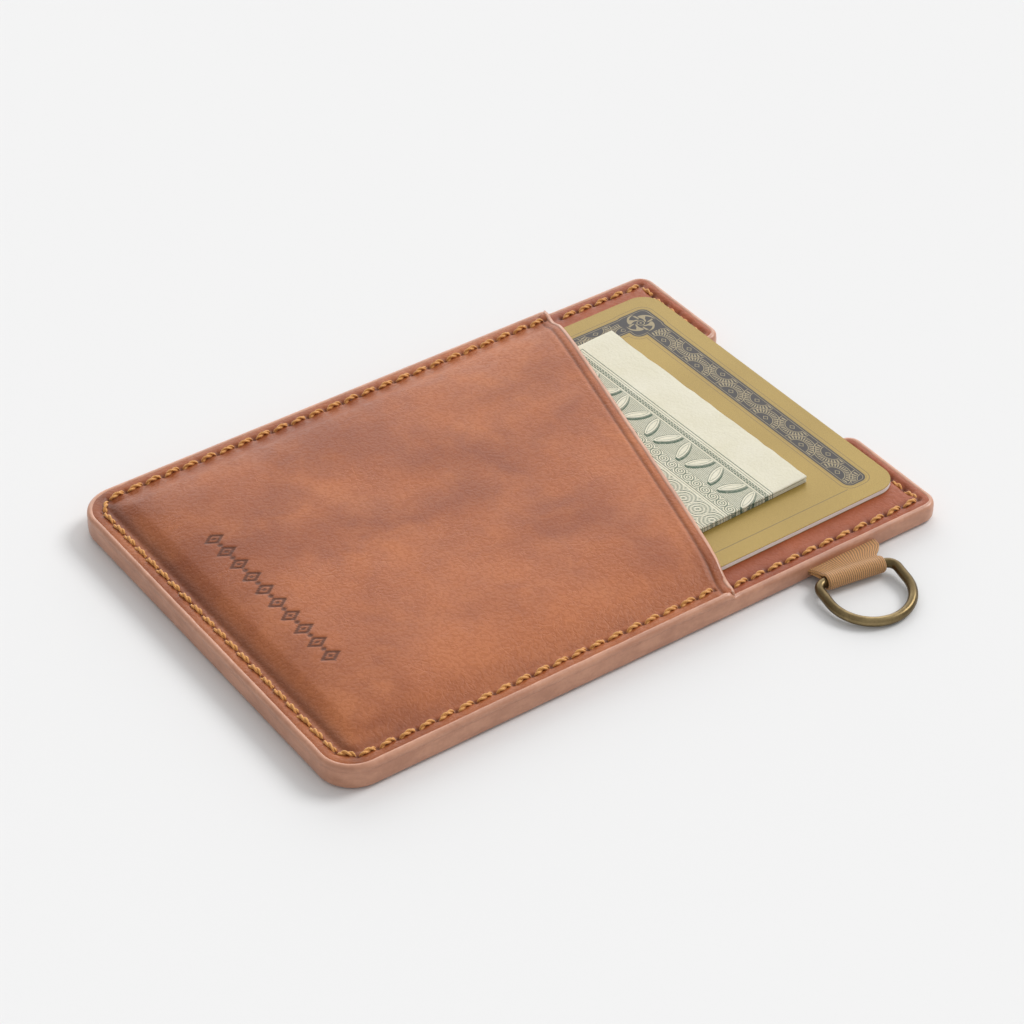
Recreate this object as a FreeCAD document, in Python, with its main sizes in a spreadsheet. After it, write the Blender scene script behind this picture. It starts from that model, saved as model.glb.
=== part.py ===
"""Minimalist leather wallet with a key ring, a payment card and a folded banknote, in millimetres.

The wallet lies on its back. The origin is the centre of the back face, +Z points up through the pocket,
+Y points at the open end with the thumb notch, and +X points at the long side that carries the ring.
"""

import FreeCAD, Part
import math
import os
import re

import Sketcher

V = FreeCAD.Vector

DIMENSIONS = {
    # Outline of the leather
    "overall_width": 64.5,
    "overall_length": 92.6,
    "closed_corner": 5.0,
    "ear_corner": 2.25,
    "notch_width": 28.0,
    "notch_depth": 7.0,
    "notch_lip_radius": 2.0,
    "notch_floor_radius": 3.0,
    "paint": 0.25,
    # Thickness of each layer, from the back face up
    "back_thick": 1.0,
    "core_thick": 0.8,
    "divider_thick": 1.0,
    "front_thick": 0.9,
    # Slanted mouth of the front pocket
    "mouth_middle": 20.7,
    "mouth_slant": 14.43,
    # Raised middle of the front panel, outside and inside
    "crown_rise": 1.8,
    "crown_foot_side": 29.6,
    "crown_top_side": 23.2,
    "crown_foot_end": 43.6,
    "crown_top_end": 40.3,
    "cavity_foot_side": 28.9,
    "cavity_top_side": 22.3,
    "cavity_foot_end": 42.5,
    "cavity_top_end": 39.5,
    "crown_foot_corner": 4.0,
    "crown_top_corner": 3.8,
    "cavity_foot_corner": 3.3,
    "cavity_top_corner": 3.1,
    # Saddle stitch, lying in a shallow groove
    "stitch_inset": 2.1,
    "groove_width": 0.6,
    "groove_depth": 0.25,
    "stitch_pitch": 2.8,
    "stitch_length": 2.2,
    "stitch_width": 0.5,
    "stitch_proud": 0.1,
    # Webbing tab, folded round the bar of the ring; reaches are counted out from the leather
    "tab_middle": 29.4,
    "tab_turn": -9.0,
    "tab_tail": 5.75,
    "tab_root_width": 11.3,
    "tab_loop_width": 8.4,
    "tab_flare_reach": 0.15,
    "tab_neck_reach": 2.1,
    "webbing_thick": 0.38,
    # D-ring of round wire
    "wire_radius": 0.65,
    "bar_reach": 3.55,
    "bar_clearance": 0.07,
    "ring_width": 11.3,
    "ring_depth": 9.2,
    "ring_corner": 1.4,
    "ring_droop": 4.4,
    # Payment card, standard ID-1 size
    "card_width": 53.98,
    "card_length": 85.6,
    "card_corner": 3.18,
    "card_core_thick": 0.56,
    "card_print_thick": 0.1,
    "card_gap": 0.05,
    "card_side": 0.3,
    "card_middle": 0.9,
    "card_turn": 0.83,
    "chip_width": 11.8,
    "chip_length": 13.0,
    "chip_thick": 0.25,
    "chip_side": 3.3,
    "chip_end": 27.5,
    "stripe_width": 12.7,
    "stripe_side": 16.6,
    "stripe_thick": 0.05,
    "signature_width": 10.0,
    "signature_length": 60.0,
    "signature_side": 3.5,
    # Banknote, folded in four
    "note_width": 41.5,
    "note_length": 66.0,
    "note_paper": 0.15,
    "note_pitch": 0.225,
    "note_side": 0.05,
    "note_middle": 0.22,
    "note_turn": 1.78,
    "note_gap": 0.05,
    # Room round the webbing in the board and the painted edge
    "slot_clearance": 0.2,
    # Size of a cutter that has to reach past the whole wallet
    "cutter": 120.0,
}

doc = FreeCAD.newDocument("wallet")
sheet = doc.addObject("Spreadsheet::Sheet", "dims")
for row, (alias, size) in enumerate(DIMENSIONS.items(), 1):
    sheet.set(f"A{row}", alias)
    sheet.set(f"B{row}", str(size))
    sheet.setAlias(f"B{row}", alias)
doc.recompute()


def value(expression):
    """The number that an expression over the sheet's aliases gives now."""
    return float(sheet.evalExpression(expression))


def cells(expression):
    """The same expression as another object of the document has to write it."""
    aliases = "|".join(DIMENSIONS)
    return re.sub(rf"\b({aliases})\b", r"dims.\1", expression)


def bind(thing, **expressions):
    """Bind properties to the sheet; a double underscore in a keyword stands for a dot."""
    for name, expression in expressions.items():
        thing.setExpression(name.replace("__", "."), cells(expression))
    return thing


# Heights of the layers' faces, as expressions over the sheet
CORE_LEVEL = "back_thick"
DIVIDER_LEVEL = "back_thick + core_thick"
FRONT_LEVEL = "back_thick + core_thick + divider_thick"
FLANGE_TOP = FRONT_LEVEL + " + front_thick"
CROWN_TOP = FLANGE_TOP + " + crown_rise"
TAB_LEVEL = "back_thick + core_thick / 2"
CARD_LEVEL = FRONT_LEVEL + " + card_gap"
CARD_CORE_LEVEL = CARD_LEVEL + " + card_print_thick"
CARD_FACE_LEVEL = CARD_CORE_LEVEL + " + card_core_thick"
NOTE_LEVEL = CARD_FACE_LEVEL + " + card_print_thick + note_gap"

# Points of the sewing line in half a stitch, the least angle of a sharp corner in it, and the gap
# between a stitch and the slanted mouth
STITCH_STEPS = 4
SHARP_CORNER = 20.0
MOUTH_GAP = 0.3

HALF_WIDTH = "overall_width / 2"
HALF_LENGTH = "overall_length / 2"


# Where the middle of the tab leaves the leather's edge
TAB_EXIT = (HALF_WIDTH, "tab_middle", TAB_LEVEL)


def origin_plane(body, role):
    return next(plane for plane in body.Origin.OriginFeatures if plane.Role == role)


def new_sketch(body, name, role="XY_Plane", level="0"):
    """An empty sketch on one of the body's origin planes, lifted along that plane's normal."""
    sketch = body.newObject("Sketcher::SketchObject", name)
    sketch.AttachmentSupport = [(origin_plane(body, role), "")]
    sketch.MapMode = "FlatFace"
    return bind(sketch, AttachmentOffset__Base__z=level)


def rectangle(body, name, sides, level, corner=None):
    """A sketched rectangle; sides are the expressions of its left, right, front and rear.

    A corner radius rounds the two front corners.
    """
    sketch = new_sketch(body, name, level=level)
    left, right, front, rear = (value(side) for side in sides)
    round_by = value(corner) if corner else 0.0
    lines = [
        (V(left + round_by, front, 0), V(right - round_by, front, 0)),
        (V(right, front + round_by, 0), V(right, rear, 0)),
        (V(right, rear, 0), V(left, rear, 0)),
        (V(left, rear, 0), V(left, front + round_by, 0)),
    ]
    for start, end in lines:
        sketch.addGeometry(Part.LineSegment(start, end), False)
    for line in range(4):
        sketch.addConstraint(Sketcher.Constraint("Vertical" if line % 2 else "Horizontal", line))
        if line in (1, 2) or not corner:
            sketch.addConstraint(Sketcher.Constraint("Coincident", line, 2, (line + 1) % 4, 1))
    if corner:
        arcs = [(0, 1, right - round_by, 1.5), (3, 0, left + round_by, 1.0)]
        for before, after, centre, start in arcs:
            circle = Part.Circle(V(centre, front + round_by, 0), V(0, 0, 1), round_by)
            arc = Part.ArcOfCircle(circle, start * math.pi, (start + 0.5) * math.pi)
            index = sketch.addGeometry(arc, False)
            sketch.addConstraint(Sketcher.Constraint("Tangent", before, 2, index, 1))
            sketch.addConstraint(Sketcher.Constraint("Tangent", index, 2, after, 1))
            radius = sketch.addConstraint(Sketcher.Constraint("Radius", index, round_by))
            sketch.setExpression(f"Constraints[{radius}]", cells(corner))
    placed = [("DistanceX", 3, 1), ("DistanceX", 1, 2), ("DistanceY", 0, 1), ("DistanceY", 2, 1)]
    for (kind, line, point), side in zip(placed, sides):
        index = sketch.addConstraint(Sketcher.Constraint(kind, -1, 1, line, point, value(side)))
        sketch.setExpression(f"Constraints[{index}]", cells(side))
    return sketch


def feature(body, kind, name, grows, **settings):
    """Add a PartDesign feature, and stop if it didn't add or remove material as it should."""
    before = body.Shape.Volume if body.Shape.Solids else 0.0
    added = body.newObject("PartDesign::" + kind, name)
    lengths = {key: settings.pop(key) for key in ("Length", "Radius") if key in settings}
    for key, setting in settings.items():
        setattr(added, key, setting)
    bind(added, **lengths)
    doc.recompute()
    change = added.Shape.Volume - before
    if grows is not None and (change > 1e-6) != grows or abs(change) < 1e-6:
        raise RuntimeError(f"{body.Name}.{name} changed the volume by {change}")
    return added


def pad(body, name, sketch, thick):
    return feature(body, "Pad", name, True, Profile=sketch, Length=thick)


def pocket(body, name, sketch, deep):
    return feature(body, "Pocket", name, False, Profile=sketch, Length=deep)


def round_corners(body, name, points, radius):
    """Fillet the upright edges that stand on the given plan points; a radius under 0.1 stays sharp."""
    if value(radius) < 0.1:
        return
    plan = [V(value(x), value(y), 0) for x, y in points]
    chosen = []
    for number, edge in enumerate(body.Tip.Shape.Edges, 1):
        box = edge.BoundBox
        foot = V(box.XMin, box.YMin, 0)
        upright = box.XLength < 1e-4 and box.YLength < 1e-4
        if upright and any(foot.distanceToPoint(point) < 1e-3 for point in plan):
            chosen.append(f"Edge{number}")
    feature(body, "Fillet", name, None, Base=(body.Tip, chosen), Radius=radius)


def plate(name, inset, level, thick):
    """A plate with the wallet's outline, thumb notch included, drawn in from it by an inset."""
    body = doc.addObject("PartDesign::Body", name)
    side = f"({HALF_WIDTH} - ({inset}))"
    end = f"({HALF_LENGTH} - ({inset}))"
    notch_side = f"(notch_width / 2 + ({inset}))"
    notch_floor = f"({HALF_LENGTH} - notch_depth - ({inset}))"
    top = f"{level} + ({thick})"
    outline = rectangle(body, name + "_outline", [f"-{side}", side, f"-{end}", end], level)
    pad(body, name + "_pad", outline, thick)
    closed = [(f"-{side}", f"-{end}"), (side, f"-{end}")]
    round_corners(body, name + "_closed", closed, f"closed_corner - ({inset})")
    ears = [(f"-{side}", end), (side, end)]
    round_corners(body, name + "_ears", ears, f"ear_corner - ({inset})")
    sides = [f"-{notch_side}", notch_side, notch_floor, f"{HALF_LENGTH} + 1"]
    pocket(body, name + "_notch", rectangle(body, name + "_notch_outline", sides, top), thick)
    lips = [(f"-{notch_side}", end), (notch_side, end)]
    round_corners(body, name + "_lips", lips, f"notch_lip_radius - ({inset})")
    floor = [(f"-{notch_side}", notch_floor), (notch_side, notch_floor)]
    round_corners(body, name + "_floor", floor, f"notch_floor_radius + ({inset})")
    return body


def boolean(kind, name, base, tool):
    result = doc.addObject("Part::" + kind, name)
    result.Base = base
    result.Tool = tool
    doc.recompute()
    return result


def block(name, low, size, turn="0", about=("0", "0", "0")):
    """A box cutter with its low corner at `low`, both counted from `about`, turned about Z there."""
    box = doc.addObject("Part::Box", name)
    bind(box, Length=size[0], Width=size[1], Height=size[2])
    angle = math.radians(value(turn))
    x, y, z = (value(part) for part in low)
    rotated = V(x * math.cos(angle) - y * math.sin(angle), x * math.sin(angle) + y * math.cos(angle), z)
    centre = V(*(value(part) for part in about))
    box.Placement = FreeCAD.Placement(centre + rotated, FreeCAD.Rotation(V(0, 0, 1), value(turn)))
    return box


def outline_ring(name, outer_inset, inner_inset, level, thick):
    """The band between two insets of the wallet's outline."""
    outer = plate(name + "_outer", outer_inset, level, thick)
    inner = plate(name + "_inner", inner_inset, level, thick)
    return boolean("Cut", name, outer, inner)


def groove(name, level):
    """The ring-shaped cutter of a stitching groove, one millimetre high from its level."""
    outer = "stitch_inset - groove_width / 2"
    inner = "stitch_inset + groove_width / 2"
    return outline_ring(name, outer, inner, level, "1")


def mouth_block(name, start, deep="cutter"):
    """A slab along the slanted mouth line, from `start` on the line's normal and `deep` along it."""
    low = ("-cutter / 2", start, "0")
    size = ("cutter", deep, "cutter")
    return block(name, low, size, "-mouth_slant", ("0", "mouth_middle", FRONT_LEVEL))


# --- Leather and board -------------------------------------------------------------------------------


def make_back_panel():
    leather = plate("back_leather", "paint", "0", "back_thick")
    cutter = groove("back_groove", "groove_depth - 1")
    return boolean("Cut", "back_panel", leather, cutter)


def tab_slot(name, thick):
    """The room that the root of the webbing needs in the edge, `thick` high about the tab's level."""
    low = ("-tab_tail - slot_clearance", "-tab_root_width / 2 - slot_clearance", f"-({thick}) / 2")
    size = ("cutter", "tab_root_width + 2 * slot_clearance", thick)
    return block(name, low, size, "tab_turn", TAB_EXIT)


def make_core_board():
    """The stiffener between back and divider, cut out round the root of the webbing tab."""
    board = plate("core_blank", "paint", CORE_LEVEL, "core_thick")
    return boolean("Cut", "core_board", board, tab_slot("core_root", "core_thick + 1"))


def make_divider_panel():
    leather = plate("divider_leather", "paint", DIVIDER_LEVEL, "divider_thick")
    cutter = groove("divider_groove", FRONT_LEVEL + " - groove_depth")
    return boolean("Cut", "divider_panel", leather, cutter)


def make_front_shell():
    """The front leather before its mouth is cut: a sewn flange round a raised, hollow middle."""
    body = doc.addObject("PartDesign::Body", "front_leather")
    side = f"({HALF_WIDTH} - paint)"
    end = f"({HALF_LENGTH} - paint)"
    sides = [f"-{side}", side, f"-{end}", end]
    pad(body, "flange", rectangle(body, "flange_outline", sides, FRONT_LEVEL), "front_thick")
    corners = [(f"-{side}", f"-{end}"), (side, f"-{end}")]
    round_corners(body, "flange_closed", corners, "closed_corner - paint")

    foot = ["-crown_foot_side", "crown_foot_side", "-crown_foot_end", end]
    top = ["-crown_top_side", "crown_top_side", "-crown_top_end", end]
    crown_foot = rectangle(body, "crown_foot", foot, FLANGE_TOP, "crown_foot_corner")
    crown_top = rectangle(body, "crown_top", top, CROWN_TOP, "crown_top_corner")
    sections = [(crown_top, [""])]
    feature(body, "AdditiveLoft", "crown", True, Profile=crown_foot, Sections=sections, Ruled=True)

    rear = f"{HALF_LENGTH} + 1"
    foot = ["-cavity_foot_side", "cavity_foot_side", "-cavity_foot_end", rear]
    top = ["-cavity_top_side", "cavity_top_side", "-cavity_top_end", rear]
    wall = rectangle(body, "cavity_wall_outline", foot, FLANGE_TOP, "cavity_foot_corner")
    pocket(body, "cavity_wall", wall, "front_thick")
    cavity_foot = rectangle(body, "cavity_foot", foot, FLANGE_TOP, "cavity_foot_corner")
    cavity_top = rectangle(body, "cavity_top", top, CROWN_TOP + " - front_thick", "cavity_top_corner")
    sections = [(cavity_top, [""])]
    feature(body, "SubtractiveLoft", "cavity", False, Profile=cavity_foot, Sections=sections, Ruled=True)
    cutter = groove("front_groove", FLANGE_TOP + " - groove_depth")
    return boolean("Cut", "front_grooved", body, cutter)


def make_front_nodes():
    """The front panel, and the edge paint along its mouth and its three sewn sides."""
    shell = make_front_shell()
    panel = boolean("Cut", "front_panel", shell, mouth_block("mouth_leather_cut", "-paint"))
    mouth = boolean("Common", "edge_paint_mouth", shell, mouth_block("mouth_strip", "-paint", "paint"))
    band = outline_ring("front_band", "0", "paint", FRONT_LEVEL, "front_thick")
    sides = boolean("Cut", "edge_paint_front", band, mouth_block("mouth_band_cut", "0"))
    return [panel, mouth, sides]


def make_body_paint():
    """Edge paint round the back, core and divider, open where the tab comes out."""
    band = outline_ring("body_band", "0", "paint", "0", FRONT_LEVEL)
    return boolean("Cut", "edge_paint_body", band, tab_slot("tab_exit", "core_thick"))


# --- Saddle stitching --------------------------------------------------------------------------------


def edge_ends(edge):
    """(start direction, end direction) of an edge in the order in which its wire runs."""
    first, last = edge.tangentAt(edge.FirstParameter), edge.tangentAt(edge.LastParameter)
    if edge.Orientation == "Reversed":
        return last * -1, first * -1
    return first, last


def smooth_runs(wire):
    """The wire's stretches between its sharp corners; an arc too short for a stitch is a corner too."""
    edges = [edge for edge in wire.OrderedEdges if edge.Length > value("stitch_width")]
    runs = [[]]
    for edge, after in zip(edges, edges[1:] + edges[:1]):
        runs[-1].append(edge)
        if edge_ends(edge)[1].getAngle(edge_ends(after)[0]) > math.radians(SHARP_CORNER):
            runs.append([])
    first, last = runs[0], runs.pop()
    runs[0] = last + first
    return [Part.Wire(run) for run in runs]


def stitch_stations():
    """Middle and heading of each stitch on the sewing line, which follows the outline all round."""
    line = plate("sewing_line", "stitch_inset", "0", "1")
    base = min(line.Shape.Faces, key=lambda face: face.CenterOfMass.z)
    stations = []
    for run in smooth_runs(base.OuterWire):
        count = round(run.Length / value("stitch_pitch"))
        points = run.discretize(Number=2 * STITCH_STEPS * count + 1)
        for index in range(STITCH_STEPS, len(points), 2 * STITCH_STEPS):
            along = points[index + 1] - points[index - 1]
            stations.append((points[index], math.degrees(math.atan2(along.y, along.x))))
    return stations


def one_stitch(length, width, thick):
    """A round-ended bar of thread lying along X with its underside at zero."""
    reach = (length - width) / 2
    half = width / 2
    outline = Part.Wire([
        Part.LineSegment(V(-reach, -half, 0), V(reach, -half, 0)).toShape(),
        Part.Arc(V(reach, -half, 0), V(reach + half, 0, 0), V(reach, half, 0)).toShape(),
        Part.LineSegment(V(reach, half, 0), V(-reach, half, 0)).toShape(),
        Part.Arc(V(-reach, half, 0), V(-reach - half, 0, 0), V(-reach, -half, 0)).toShape(),
    ])
    return Part.Face(outline).extrude(V(0, 0, thick))


def make_thread(name, stations, level, thick):
    bar = one_stitch(value("stitch_length"), value("stitch_width"), thick)
    stitches = []
    for middle, heading in stations:
        place = FreeCAD.Placement(V(middle.x, middle.y, level), FreeCAD.Rotation(V(0, 0, 1), heading))
        stitches.append(bar.transformed(place.toMatrix(), True))
    thread = doc.addObject("Part::Feature", name)
    thread.Shape = Part.makeCompound(stitches)
    return thread


def make_threads():
    """Front stitches stand a little proud; those under the card and on the back face lie flush."""
    stations = stitch_stations()
    slope = math.tan(math.radians(value("mouth_slant")))
    clear = value("stitch_length") / 2 + MOUTH_GAP
    front = []
    divider = []
    for middle, heading in stations:
        beyond = middle.y - (value("mouth_middle") - slope * middle.x)
        if beyond < -clear:
            front.append((middle, heading))
        if beyond > clear:
            divider.append((middle, heading))
    deep = value("groove_depth")
    return [
        make_thread("seam_thread_front", front, value(FLANGE_TOP) - deep, deep + value("stitch_proud")),
        make_thread("seam_thread_divider", divider, value(FRONT_LEVEL) - deep, deep),
        make_thread("seam_thread_back", stations, 0.0, deep),
    ]


# --- Ribbons: the webbing tab and the folded banknote ------------------------------------------------


def leftwards(angle):
    """The unit direction to the left of a heading."""
    return V(-math.sin(angle), math.cos(angle), 0)


def ribbon_stations(start, heading, steps):
    """(point, heading) pairs along a path of lines (length,) and arcs (radius, turn in degrees).

    A line gives its two ends, an arc its start, middle and end.
    """
    point = V(*start, 0)
    angle = math.radians(heading)
    for step in steps:
        stations = [(point, angle)]
        if len(step) == 1:
            stations.append((point + V(math.cos(angle), math.sin(angle), 0) * step[0], angle))
        else:
            turn = math.radians(step[1])
            radius = math.copysign(step[0], turn)
            centre = point + leftwards(angle) * radius
            for share in (0.5, 1.0):
                ahead = angle + share * turn
                stations.append((centre - leftwards(ahead) * radius, ahead))
        point, angle = stations[-1]
        yield stations


def ribbon_edges(start, heading, steps, thick):
    """Edges of a ribbon's section along a path: both rails and the two end caps."""
    rails = []
    for side in (thick / 2, -thick / 2):
        rail = []
        for stations in ribbon_stations(start, heading, steps):
            points = [at + leftwards(angle) * side for at, angle in stations]
            rail.append(Part.LineSegment(*points) if len(points) == 2 else Part.Arc(*points))
        rails.append(rail)
    left, right = rails
    first_cap = Part.LineSegment(left[0].StartPoint, right[0].StartPoint)
    last_cap = Part.LineSegment(left[-1].EndPoint, right[-1].EndPoint)
    return left + right + [first_cap, last_cap]


def taper_outline(hand):
    """Plan of what is cut off one side of the strap: hand is 1 or -1."""
    root = hand * value("tab_root_width") / 2
    neck = hand * value("tab_loop_width") / 2
    flare = value("tab_flare_reach")
    beyond = value("bar_reach + ring_depth")
    return [
        V(flare, root, 0),
        V(value("tab_neck_reach"), neck, 0),
        V(beyond, neck, 0),
        V(beyond, root + hand, 0),
        V(flare, root + hand, 0),
    ]


def tab_place(reach):
    """Placement of a piece of the tab: its origin lies `reach` outside the leather's edge."""
    turn = FreeCAD.Rotation(V(0, 0, 1), value("tab_turn"))
    exit_point = V(*(value(part) for part in TAB_EXIT))
    return FreeCAD.Placement(exit_point + turn.multVec(V(value(reach), 0, 0)), turn)


def make_tab():
    """Webbing folded round the bar: two plies in the edge, opening into a tunnel at the ring.

    The strap is sewn in a little askew, and narrows from its root in the seam to the tunnel.
    """
    body = doc.addObject("PartDesign::Body", "tab_webbing")
    thick = value("webbing_thick")
    loop = value("wire_radius + bar_clearance") + thick / 2
    ply = value("core_thick") / 4
    rise = loop - ply
    bend = 1.5 * loop
    swing = math.degrees(math.acos(1 - rise / (bend + loop)))
    run = value("tab_tail + bar_reach") - (bend + loop) * math.sin(math.radians(swing))
    steps = [(run,), (bend, -swing), (loop, 180 + 2 * swing), (bend, -swing), (run,)]
    start = (value("-tab_tail"), -ply)
    section = new_sketch(body, "tab_section", "XZ_Plane")
    for edge in ribbon_edges(start, 0, steps, thick):
        section.addGeometry(edge, False)
    feature(body, "Pad", "tab_strap", True, Profile=section, Length="tab_root_width", Midplane=True)
    for hand, name in ((1, "far"), (-1, "near")):
        cut = new_sketch(body, f"tab_{name}_taper", level="cutter / 2")
        corners = taper_outline(hand)
        for first, second in zip(corners, corners[1:] + corners[:1]):
            cut.addGeometry(Part.LineSegment(first, second), False)
        pocket(body, f"tab_{name}_cut", cut, "cutter")
    body.Placement = tab_place("0")
    return body


def make_banknote():
    """One sheet folded in half twice: two folds nest on the far side, one lies on the near side."""
    body = doc.addObject("PartDesign::Body", "banknote")
    paper = value("note_paper")
    pitch = value("note_pitch")
    reach = value("note_width") / 2
    outer = 1.5 * pitch
    inner = 0.5 * pitch
    far = -reach + outer + paper / 2
    near = reach - inner - paper / 2
    steps = [
        (reach - far,),
        (outer, -180),
        (near - far,),
        (inner, -180),
        (near - far,),
        (inner, 180),
        (reach - far,),
    ]
    section = new_sketch(body, "note_section", "XZ_Plane")
    for edge in ribbon_edges((reach, paper / 2), 180, steps, paper):
        section.addGeometry(edge, False)
    feature(body, "Pad", "note_sheet", True, Profile=section, Length="note_length", Midplane=True)
    place = V(value("note_side"), value("note_middle"), value(NOTE_LEVEL))
    body.Placement = FreeCAD.Placement(place, FreeCAD.Rotation(V(0, 0, 1), value("note_turn")))
    return body


# --- D-ring ------------------------------------------------------------------------------------------


def make_ring():
    """Round wire bent to a D: a straight bar, two short legs and a half-round bow, hanging a little."""
    body = doc.addObject("PartDesign::Body", "d_ring")
    half = value("ring_width") / 2
    bend = value("ring_corner")
    leg = value("ring_depth") - half
    slant = bend * (1 - math.sqrt(0.5))
    edges = [
        Part.LineSegment(V(0, 0, 0), V(0, -half + bend, 0)),
        Part.Arc(V(0, -half + bend, 0), V(slant, -half + slant, 0), V(bend, -half, 0)),
        Part.LineSegment(V(bend, -half, 0), V(leg, -half, 0)),
        Part.Arc(V(leg, -half, 0), V(leg + half, 0, 0), V(leg, half, 0)),
        Part.LineSegment(V(leg, half, 0), V(bend, half, 0)),
        Part.Arc(V(bend, half, 0), V(slant, half - slant, 0), V(0, half - bend, 0)),
        Part.LineSegment(V(0, half - bend, 0), V(0, 0, 0)),
    ]
    path = new_sketch(body, "ring_path")
    for edge in edges:
        path.addGeometry(edge, False)
    section = new_sketch(body, "ring_section", "XZ_Plane")
    circle = section.addGeometry(Part.Circle(V(0, 0, 0), V(0, 0, 1), value("wire_radius")), False)
    section.addConstraint(Sketcher.Constraint("Coincident", circle, 3, -1, 1))
    radius = section.addConstraint(Sketcher.Constraint("Radius", circle, value("wire_radius")))
    section.setExpression(f"Constraints[{radius}]", cells("wire_radius"))
    doc.recompute()
    feature(body, "AdditivePipe", "ring_wire", True, Profile=section, Spine=(path, []))
    droop = FreeCAD.Placement(V(0, 0, 0), FreeCAD.Rotation(V(0, 1, 0), value("ring_droop")))
    body.Placement = tab_place("bar_reach") * droop
    return body


# --- Payment card ------------------------------------------------------------------------------------


def card_sides(width, length, middle):
    """Left, right, front and rear of a rectangle whose middle is counted from the card's middle."""
    return [f"{at} {sign} {size} / 2" for at, size in zip(middle, (width, length)) for sign in "-+"]


def card_sheet(name, width, length, thick, corner, middle=("0", "0"), level="0"):
    """A round-cornered sheet of the card."""
    body = doc.addObject("PartDesign::Body", name)
    sides = card_sides(width, length, middle)
    pad(body, name + "_pad", rectangle(body, name + "_outline", sides, level), thick)
    corners = [(x, y) for x in sides[:2] for y in sides[2:]]
    round_corners(body, name + "_corners", corners, corner)
    return body


def recess(body, name, width, length, middle, level, deep):
    """A square-cornered seat sunk from `level`, for a piece laid into the card."""
    sides = card_sides(width, length, middle)
    pocket(body, name, rectangle(body, name + "_outline", sides, level), deep)


def make_card():
    """Core, printed face and back, chip, magnetic stripe and signature strip, in card coordinates."""
    blank = ("card_width", "card_length")
    core_level = "card_print_thick"
    face_level = "card_print_thick + card_core_thick"
    top = face_level + " + card_print_thick"
    chip_place = ("chip_side", "(0 - chip_end)")
    chip_size = ("chip_width", "chip_length")
    stripe_place = ("stripe_side", "0")
    signature_place = ("signature_side", "0")

    core = card_sheet("card_core", *blank, "card_core_thick", "card_corner", level=core_level)
    recess(core, "chip_seat", *chip_size, chip_place, face_level, "chip_thick - card_print_thick")
    face = card_sheet("card_face", *blank, "card_print_thick", "card_corner", level=face_level)
    recess(face, "chip_window", *chip_size, chip_place, top, "card_print_thick")
    chip = card_sheet("card_chip", *chip_size, "chip_thick", "0", chip_place, top + " - chip_thick")
    back = card_sheet("card_back_print", *blank, "card_print_thick", "card_corner")
    deep = "stripe_thick"
    stripe_size = ("stripe_width", "card_length")
    signature_size = ("signature_width", "signature_length")
    recess(back, "stripe_seat", *stripe_size, stripe_place, deep, deep)
    recess(back, "signature_seat", *signature_size, signature_place, deep, deep)
    stripe = card_sheet("card_stripe", *stripe_size, deep, "0", stripe_place)
    strip = card_sheet("card_signature_strip", *signature_size, deep, "0", signature_place)
    nodes = [core, face, chip, back, stripe, strip]
    place = V(value("card_side"), value("card_middle"), value(CARD_LEVEL))
    for node in nodes:
        node.Placement = FreeCAD.Placement(place, FreeCAD.Rotation(V(0, 0, 1), value("card_turn")))
    return nodes


def check_document():
    for thing in doc.Objects:
        if "Invalid" in thing.State or "Error" in thing.State:
            raise RuntimeError(f"{thing.Name} failed: {thing.State}")


def export(nodes):
    """Write every sub-part, whose label is its name, after testing all of them."""
    for node in nodes:
        node.Label = node.Name
        if node.Shape.isNull() or not node.Shape.isValid() or not node.Shape.Solids:
            raise RuntimeError(f"{node.Label} has no valid shape")
    os.makedirs("parts", exist_ok=True)
    for node in nodes:
        node.Shape.exportStep(f"parts/{node.Label}.step")
        size = node.Shape.BoundBox
        print(
            f"{node.Label:24s}"
            f"{size.XLength:8.2f} x{size.YLength:8.2f} x{size.ZLength:8.2f}"
            f"  solids {len(node.Shape.Solids):4d}"
            f"  volume {node.Shape.Volume:10.2f}"
        )


nodes = [make_back_panel(), make_core_board(), make_divider_panel()]
nodes += make_front_nodes()
nodes.append(make_body_paint())
nodes += make_threads()
nodes += [make_tab(), make_ring()]
nodes += make_card()
nodes.append(make_banknote())
doc.recompute()
check_document()
export(nodes)
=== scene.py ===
"""Looks of a minimalist leather wallet, its ring tab, payment card and folded banknote.

Shapes are worked out in millimetres in the part's own frame and stored in metres: +Z out of the pocket,
+Y towards the open end with the thumb notch, +X towards the long side with the ring.
"""

import math
import random

import bpy
import numpy as np
from mathutils import Matrix, Vector, noise


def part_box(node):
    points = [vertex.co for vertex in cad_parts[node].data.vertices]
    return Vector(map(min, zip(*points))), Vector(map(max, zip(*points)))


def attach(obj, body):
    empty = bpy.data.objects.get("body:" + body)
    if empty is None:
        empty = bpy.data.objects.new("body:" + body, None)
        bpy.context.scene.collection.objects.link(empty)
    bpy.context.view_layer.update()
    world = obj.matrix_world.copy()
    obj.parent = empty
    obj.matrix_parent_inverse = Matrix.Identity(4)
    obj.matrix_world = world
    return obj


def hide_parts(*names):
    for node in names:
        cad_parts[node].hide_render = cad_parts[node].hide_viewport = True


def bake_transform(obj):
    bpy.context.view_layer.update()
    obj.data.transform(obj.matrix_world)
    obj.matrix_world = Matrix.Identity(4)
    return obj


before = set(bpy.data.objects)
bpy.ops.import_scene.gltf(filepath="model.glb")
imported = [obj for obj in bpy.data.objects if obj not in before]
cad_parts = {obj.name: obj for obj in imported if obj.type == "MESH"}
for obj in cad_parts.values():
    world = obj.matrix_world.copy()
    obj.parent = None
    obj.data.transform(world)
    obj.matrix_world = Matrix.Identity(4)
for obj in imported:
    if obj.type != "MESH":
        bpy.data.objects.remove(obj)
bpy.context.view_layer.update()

MM = 0.001


def box_mm(node):
    """Lowest and highest corner of a CAD node, in millimetres."""
    low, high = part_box(node)
    return low / MM, high / MM


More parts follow.
